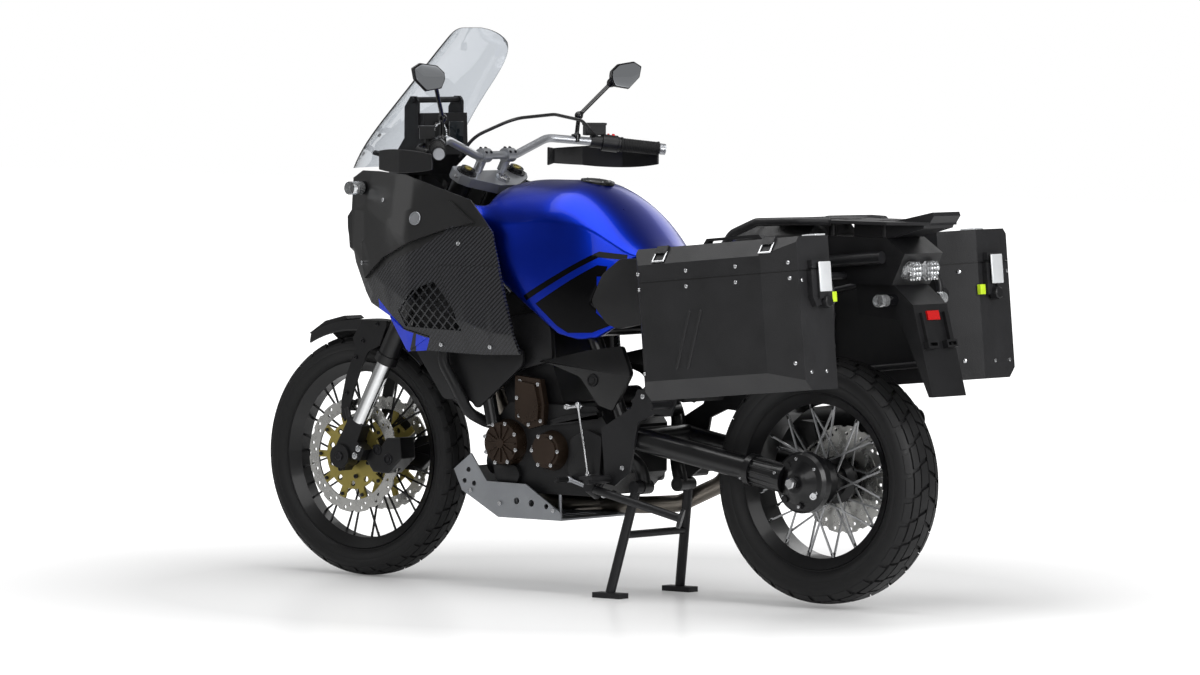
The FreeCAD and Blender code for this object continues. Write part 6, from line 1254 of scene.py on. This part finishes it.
flank_plate("crankcase_web", ((0.004, 0.452), (0.070, 0.446), (0.072, 0.456), (0.010, 0.474),
                              (-0.096, 0.486), (-0.100, 0.474)),
            0.138, 0.010, 0.002, 0.001, engine_black)
flank_bolts("plate_bolts", ("engine",), ((-0.088, 0.312), (-0.020, 0.316), (-0.022, 0.400),
                                         (-0.092, 0.408)), 0.0045, bolt_steel)
print("plates set")

# %% Frame plugs and caliper caps
plug_section = ((0.0001, 0.0035), (0.0085, 0.0035), (0.0095, 0.0020), (0.0125, 0.0020), (0.0135, 0.0040),
                (0.0160, 0.0040), (0.0172, 0.0020), (0.0172, -0.004))
piston_section = ((0.0001, 0.0022), (0.0062, 0.0022), (0.0068, 0.0008), (0.0100, 0.0008), (0.0108, 0.0034),
                  (0.0138, 0.0034), (0.0150, 0.0015), (0.0150, -0.003))
for flank, hand in HANDS:
    turned("frame_plug_" + hand, plug_section, (-0.078, flank * 0.1425, 0.570), (0, flank, 0), 32,
           moulded_black, "chassis")
    for end, x, z in (("front", 0.690, 0.350), ("rear", 0.652, 0.326)):
        turned("caliper_piston_cap_%s_%s" % (end, hand), piston_section, (x, flank * 0.0975, z),
               (0, flank, 0), 32, dark_bolt, "steering")
print("plugs and caps set")

# %% [markdown]
# ## Gear linkage
# The foot lever works the gearbox through a thin rod with a ball joint at each end. One spun section makes a
# rod and both balls at once, so there is no seam between them.

# %% Gear linkage
def rod(name, start, end, radius, material, ball):
    """A straight rod whose ends swell into ball joints ball times as thick."""
    start, end = Vector(start), Vector(end)
    span = (end - start).length
    thick = radius * ball
    turned(name, ((0.0001, -thick), (thick * 0.7, -thick * 0.7), (thick, 0.0), (thick * 0.75, thick * 0.8),
                  (radius, thick * 1.4), (radius, span - thick * 1.4), (thick * 0.75, span - thick * 0.8),
                  (thick, span), (thick * 0.7, span + thick * 0.7), (0.0001, span + thick)),
           start, end - start, 20, material, "chassis")


rod("gear_link", (-0.042, 0.1585, 0.506), (-0.078, 0.1585, 0.322), 0.0030, bolt_steel, 2.6)
rod("gear_shaft_arm", (-0.042, 0.1500, 0.500), (0.000, 0.1500, 0.497), 0.0052, bolt_steel, 1.8)
rod("gear_shaft_stub", (0.000, 0.1540, 0.497), (0.000, 0.1120, 0.497), 0.0060, bolt_steel, 1.2)
rod("gear_lever_arm", (-0.130, 0.1530, 0.272), (-0.010, 0.1530, 0.306), 0.0056, silver_alloy, 1.7)
rod("gear_lever_peg", (-0.010, 0.1530, 0.306), (-0.010, 0.2050, 0.306), 0.0075, grip_rubber, 1.1)
rod("gear_lever_pivot", (-0.130, 0.1580, 0.272), (-0.130, 0.1150, 0.272), 0.0080, bolt_steel, 1.25)
print("linkage set")

# %% [markdown]
# ## Cooling fins
# Thin fins stand round the cylinders between the head and the crankcase. One rounded sheet is copied up the
# cylinders' lean, which an array modifier could do as well, but here each copy is placed like a bolt.

# %% Fins round the cylinders
fin = soft_box((0.215, 0.236, 0.0032), (0, 0, 0), 0.0012, 2)
lean = Vector((-0.18, 0.0, 1.0))
rows = [((0.142 + 0.012 * i, 0.0, 0.512 + 0.0135 * i), lean, 1.0) for i in range(8)]
gathered("barrel_fins", fin, rows, engine_black, "chassis", 30.0)
bpy.data.objects.remove(fin)
print(len(rows), "fins")

# %% [markdown]
# ## Screws and bolts
# Screws hold the panels, and hexagon bolts the frame and the plate under the engine. Spots are (x, z) in
# side view, as a maker would mark them on a drawing, and the search finds how far out each one sits.

# %% Bolts on the body, the frame and the fork
flank_bolts("fairing_screws", ("side_fairings",), ((0.299, 0.922), (0.194, 0.652), (0.583, 1.030),
                                                   (0.655, 0.86), (0.36, 0.652)), 0.0058, bolt_steel)
flank_bolts("frame_bolts", ("main_frame",), ((-0.215, 0.46), (-0.15, 0.36), (0.22, 0.30), (0.10, 0.285)),
            0.008, dark_bolt, kind="hex")
flank_bolts("footrest_bolts", ("footrests", "main_frame"), ((-0.262, 0.536), (-0.335, 0.536),
                                                            (-0.335, 0.486), (-0.196, 0.345)),
            0.0065, bolt_steel)
flank_bolts("subframe_bolts", ("rear_subframe",), ((-0.47, 0.87), (-0.95, 0.86), (-0.62, 0.60)), 0.006,
            dark_bolt)
flank_bolts("yoke_pinch_bolts", ("fork_yokes",), ((0.3876, 1.0975), (0.515, 0.874), (0.500, 0.868)), 0.0048,
            bolt_steel, "steering")
flank_bolts("caliper_bolts", ("fork_feet",), ((0.7436, 0.3325), (0.7318, 0.3522)), 0.0088, bolt_steel,
            "steering")
flank_bolts("fender_bolts", ("front_fender",), ((0.750, 0.643), (0.774, 0.597), (0.806, 0.500),
                                                (0.700, 0.690)), 0.0055, dark_bolt, "steering")
flank_bolts("skid_plate_bolts", ("skid_plate",), ((0.215, 0.232), (0.035, 0.222), (0.315, 0.262)), 0.0068,
            bolt_steel, kind="hex")
print("body and frame bolted")

# %% Bolts on the engine, the final drive and the muffler
cover_spots = circle(0.214, 0.392, 0.0545, 8, 0.3) + circle(0.064, 0.378, 0.043, 6)
cover_spots += [(0.158, 0.560), (0.098, 0.553), (0.088, 0.456), (0.128, 0.445), (0.160, 0.468),
                (0.162, 0.515)]
flank_bolts("cover_bolts_left", ("engine_covers",), cover_spots, 0.0052, bolt_steel, flanks=(1,))
flank_bolts("cover_bolts_right", ("engine_covers",), circle(0.078, 0.374, 0.0745, 9), 0.0045, dark_bolt,
            flanks=(-1,))
flank_bolts("crankcase_bolts", ("engine",), [(-0.09 + 0.055 * i, 0.385) for i in range(7)], 0.0042,
            bolt_steel)
flank_bolts("head_bolts", ("engine",), ((0.16, 0.655), (0.22, 0.645), (0.28, 0.66), (0.17, 0.75),
                                        (0.25, 0.74)), 0.0048, dark_bolt)
drive_spots = circle(-0.744, 0.331, 0.062, 6, 0.4) + [(-0.562, 0.335), (-0.562, 0.302)]
flank_bolts("final_drive_bolts", ("final_drive", "swingarm"), drive_spots, 0.0042, bolt_steel, flanks=(1,))
plug_radius = 0.0105
place, way = seen_from_side(tree_of("final_drive"), (-0.792, 0.300), 1)
turned("drive_level_plug",
       ((0.0001, plug_radius * 0.5), (plug_radius * 0.45, plug_radius * 0.5),
        (plug_radius * 0.5, plug_radius * 0.75), (plug_radius * 0.86, plug_radius * 0.75),
        (plug_radius, plug_radius * 0.5), (plug_radius, -0.006)),
       place, way, 24, bolt_steel, "chassis")
flank_bolts("silencer_bolts", ("muffler",), ((-0.46, 0.46), (-0.80, 0.50)), 0.0055, bolt_steel, kind="hex")
print("engine and drive bolted")

# %% Screws of the screen
screen_tree = tree_of("windscreen")
screen_spots = ((0.135, 1.150), (0.045, 1.150), (-0.045, 1.150), (-0.135, 1.150), (0.09, 1.20), (-0.09, 1.20))
rows = rows_of([seated(screen_tree, (1.3, y, z), (-1, 0, 0)) for y, z in screen_spots], 0.0056)
gathered("screen_screws", patterns["socket"], rows, dark_bolt, "chassis")
print(len(rows), "screen screws")

# %% [markdown]
# ## Rivets and beads on the cases
# The cases are folded sheet, closed by rows of bright rivets and stiffened by two pressed beads. They hang
# tail-up on the carrier, so a small function turns places along and up the case into places on the machine.

# %% Rivets and beads on the cases
case_pitch = math.radians(5.5)
case_corner = (-0.5, 0.545)
rivet_radius = 0.0052


def on_case(back, rise):
    """A place in side view from metres back along the case and up from its floor."""
    return (case_corner[0] - back * math.cos(case_pitch) + rise * math.sin(case_pitch),
            case_corner[1] + back * math.sin(case_pitch) + rise * math.cos(case_pitch))


case_spots = [on_case(back, 0.286) for back in (0.022, 0.176, 0.334, 0.490)]
case_spots += [on_case(back, 0.070) for back in (0.022, 0.490)]
lid_spots = [on_case(back, 0.326) for back in (0.024, 0.178, 0.336, 0.488)]
end_spots = ((0.295, 0.872), (0.455, 0.872), (0.295, 0.640), (0.375, 0.640), (0.440, 0.640))
for flank, hand in HANDS:
    case_tree = tree_of(hand + "_case")
    hits = [seen_from_side(case_tree, spot, flank) for spot in case_spots]
    for y, z in end_spots:
        hits.append(seated(case_tree, (-1.4, y * flank, z), (1, 0, 0)))
        hits.append(seated(case_tree, (0.0, y * flank, z - 0.045), (-1, 0, 0)))
    gathered("case_rivets_" + hand, patterns["rivet"], rows_of(hits, rivet_radius), bolt_steel, "chassis")
    lid_tree = tree_of(hand + "_lid")
    hits = [seen_from_side(lid_tree, spot, flank) for spot in lid_spots]
    gathered("lid_rivets_" + hand, patterns["rivet"], rows_of(hits, rivet_radius), bolt_steel, hand + "_lid")
    for number, shift in enumerate((0.0, 0.036)):
        low, high = (seen_from_side(case_tree, on_case(back + shift, rise), flank)[0]
                     for back, rise in ((0.125, 0.075), (0.180, 0.225)))
        span = (high - low).length
        turned("case_bead_%s_%d" % (hand, number),
               ((0.0001, 0.0), (0.0022, 0.0006), (0.0038, 0.0035), (0.0042, 0.008), (0.0042, span - 0.008),
                (0.0038, span - 0.0035), (0.0022, span - 0.0006), (0.0001, span)),
               low - Vector((0, flank * 0.0016, 0)), high - low, 16, case_powder, "chassis", 40.0)
print("cases riveted")

# %% [markdown]
# ## Latches and tie-down loops
# A bright catch plate, a turned knob and a small yellow tag sit on the rear of each case. Square wire loops
# for straps lie on the lid's sloping edge. The plates are bevelled blocks in the case's own lean, and a loop
# is a square section carried round a square, because a bent curve would lose its sharp corners.

# %% Blocks in a case's lean
# Nickel plate is bright and milky rather than a mirror.
nickel_plate = surface("bright_nickel_plate", "#c6c8ca", "#dcdee0", 0.36, grain=2.0, relief=0.04, metal=0.35)
# The tag is dyed nylon, even and slightly waxy.
tag_yellow = surface("yellow_green_nylon_tag", "#aac81c", "#bcd92a", 0.4, grain=1.4, relief=0.1, patch=20)


def case_block(name, back, across, rise, material, body, lip=0.0, edge=0.0015):
    """A bevelled block in a case's frame, from low to high along each way, with a pressed face if lipped."""
    bpy.ops.object.select_all(action="DESELECT")
    x, z = on_case((back[0] + back[1]) / 2, (rise[0] + rise[1]) / 2)
    bpy.ops.mesh.primitive_cube_add(size=1.0, location=(x, (across[0] + across[1]) / 2, z),
                                    rotation=(0, case_pitch, 0),
                                    scale=(back[1] - back[0], abs(across[1] - across[0]), rise[1] - rise[0]))
    block = bpy.context.object
    bpy.ops.object.transform_apply(location=False, rotation=False, scale=True)
    if lip:
        for face in block.data.polygons:
            face.select = face.normal.x < -0.9
        bpy.ops.object.mode_set(mode="EDIT")
        bpy.ops.mesh.inset(thickness=lip, depth=0.0)
        bpy.ops.mesh.inset(thickness=lip * 0.4, depth=-lip * 0.5)
        close_edit()
    soft = block.modifiers.new("edge", "BEVEL")
    soft.width = edge
    soft.segments = 3
    bpy.ops.object.modifier_apply(modifier="edge")
    settled(block, name, material, body)


print(len(bpy.data.materials), "finishes with nickel and nylon")

# %% Strap loop of the lids
seam_rise, lid_height = 0.3063, 0.084
lid_top = seam_rise + lid_height
slope_out, slope_down = 0.651, 0.759
loop_length, loop_width, loop_wire, wire_rise = 0.040, 0.034, 0.005, 0.0026


def strap_loop(name, back, flank, body):
    """A square loop of flat wire that lies on the sloping edge of a lid."""
    corners = []
    for level, inner in ((0.0, 0.0), (wire_rise, 0.0), (wire_rise, loop_wire), (0.0, loop_wire)):
        far, wide = loop_length - inner, loop_width - inner
        for along, down in ((inner, inner), (far, inner), (far, wide), (inner, wide)):
            x, z = on_case(back - 0.002 + along, lid_top - 0.012 - slope_down * down + slope_out * level)
            corners.append((x, flank * (0.4600 + slope_out * down + slope_down * (level + 0.009)), z))
    faces = [(4 * i + j, 4 * i + (j + 1) % 4, 4 * ((i + 1) % 4) + (j + 1) % 4, 4 * ((i + 1) % 4) + j)
             for i in range(4) for j in range(4)]
    loop = drawn(name, corners, [], faces)
    edit_all()
    bpy.ops.mesh.normals_make_consistent(inside=False)
    bpy.ops.mesh.bevel(offset=0.0008, segments=2)
    close_edit()
    settled(loop, name, bolt_steel, body)


print("the lid's top edge is", round(lid_top, 4), "above the case's floor")

# %% Latches, tags, loops and trim on both sides
knob_section = ((0.0001, 0.016), (0.014, 0.016), (0.0165, 0.014), (0.0175, 0.010), (0.0175, -0.008))
knob_x, knob_z = on_case(0.526, 0.222)
for flank, hand in HANDS:
    case_block("catch_plate_" + hand, (0.5290, 0.5400), (0.354 * flank, 0.410 * flank), (0.244, 0.326),
               nickel_plate, "chassis", 0.006, 0.004)
    turned("catch_knob_" + hand, knob_section, (knob_x, 0.378 * flank, knob_z),
           (-math.cos(case_pitch), 0, math.sin(case_pitch)), 8, moulded_black, "chassis")
    case_block("luggage_tag_" + hand, (0.5105, 0.5225), (0.320 * flank, 0.342 * flank), (0.220, 0.246),
               tag_yellow, "chassis", edge=0.001)
    for number, back in enumerate((0.068, 0.408)):
        strap_loop("lid_loop_%s_%d" % (hand, number), back, flank, hand + "_lid")
    case_block("lid_trim_" + hand, (0.462, 0.506), (0.330 * flank, 0.372 * flank),
               (lid_top - 0.003, lid_top + 0.0045), nickel_plate, hand + "_lid")
print("latches bright")

# %% [markdown]
# ## The screen's round top
# The screen is one bent sheet with a round top. Its CAD form is straight-edged, so a copy is cut by a punch:
# the outline seen from the front, extruded along the machine, and what lies inside both is kept. A lattice
# could bend the top round too, but would change the sheet's thickness.

# %% Round the top of the screen
top_middle, half_width, top_height, fullness = 1.300, 0.186, 0.1945, 0.80
screen = copied("windscreen", "screen_sheet")
rounded = [(0.26, 1.05), (0.26, 1.28)]
for step in range(25):
    turn = math.radians(3.75 * step)
    rounded.append((half_width * math.cos(turn) ** fullness,
                    top_middle + top_height * math.sin(turn) ** fullness))
rounded += [(-y, z) for y, z in rounded[-2::-1]]
punch = drawn("screen_punch", [(0.0, y, z) for y, z in rounded], [], [tuple(range(len(rounded)))])
edit_all()
bpy.ops.mesh.extrude_region_move(TRANSFORM_OT_translate={"value": (1.2, 0, 0)})
close_edit(outwards=True)
only(screen)
trim = screen.modifiers.new("trim", "BOOLEAN")
trim.operation = "INTERSECT"
trim.solver = "EXACT"
trim.object = punch
bpy.ops.object.modifier_apply(modifier="trim")
bpy.data.objects.remove(punch)
settled(screen, "screen_sheet", screen_acrylic, "chassis", 40.0)
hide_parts("windscreen")
print("screen rounded", len(screen.data.vertices))

# %% [markdown]
# ## Badges
# A round badge sits high on each fairing. It is a turned disc with a raised ring, and its face is plain.

# %% Plain round badges
badge_section = ((0.0001, 0.0026), (0.0125, 0.0026), (0.0132, 0.0018), (0.0145, 0.0018), (0.0152, 0.0034),
                 (0.0172, 0.0034), (0.0180, 0.0024), (0.0180, -0.004))
badge_tree = tree_of("side_fairings")
for flank, hand in HANDS:
    place, way = seen_from_side(badge_tree, (0.442, 0.985), flank)
    turned("plain_badge_" + hand, badge_section, place, way, 40, silver_alloy, "chassis")
print("badges plain")

# %% [markdown]
# ## Measure and finish
# The patterns go, and the box of all that was made is written beside the box of the CAD model, so that any
# piece that stands out too far is noticed.

# %% Measure and finish
for pattern in patterns.values():
    bpy.data.objects.remove(pattern)
made_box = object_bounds()
made_size, cad_size = ([round(b - a, 4) for a, b in zip(*box)] for box in (made_box, cad_box))
print("size now", made_size, "of", cad_size)
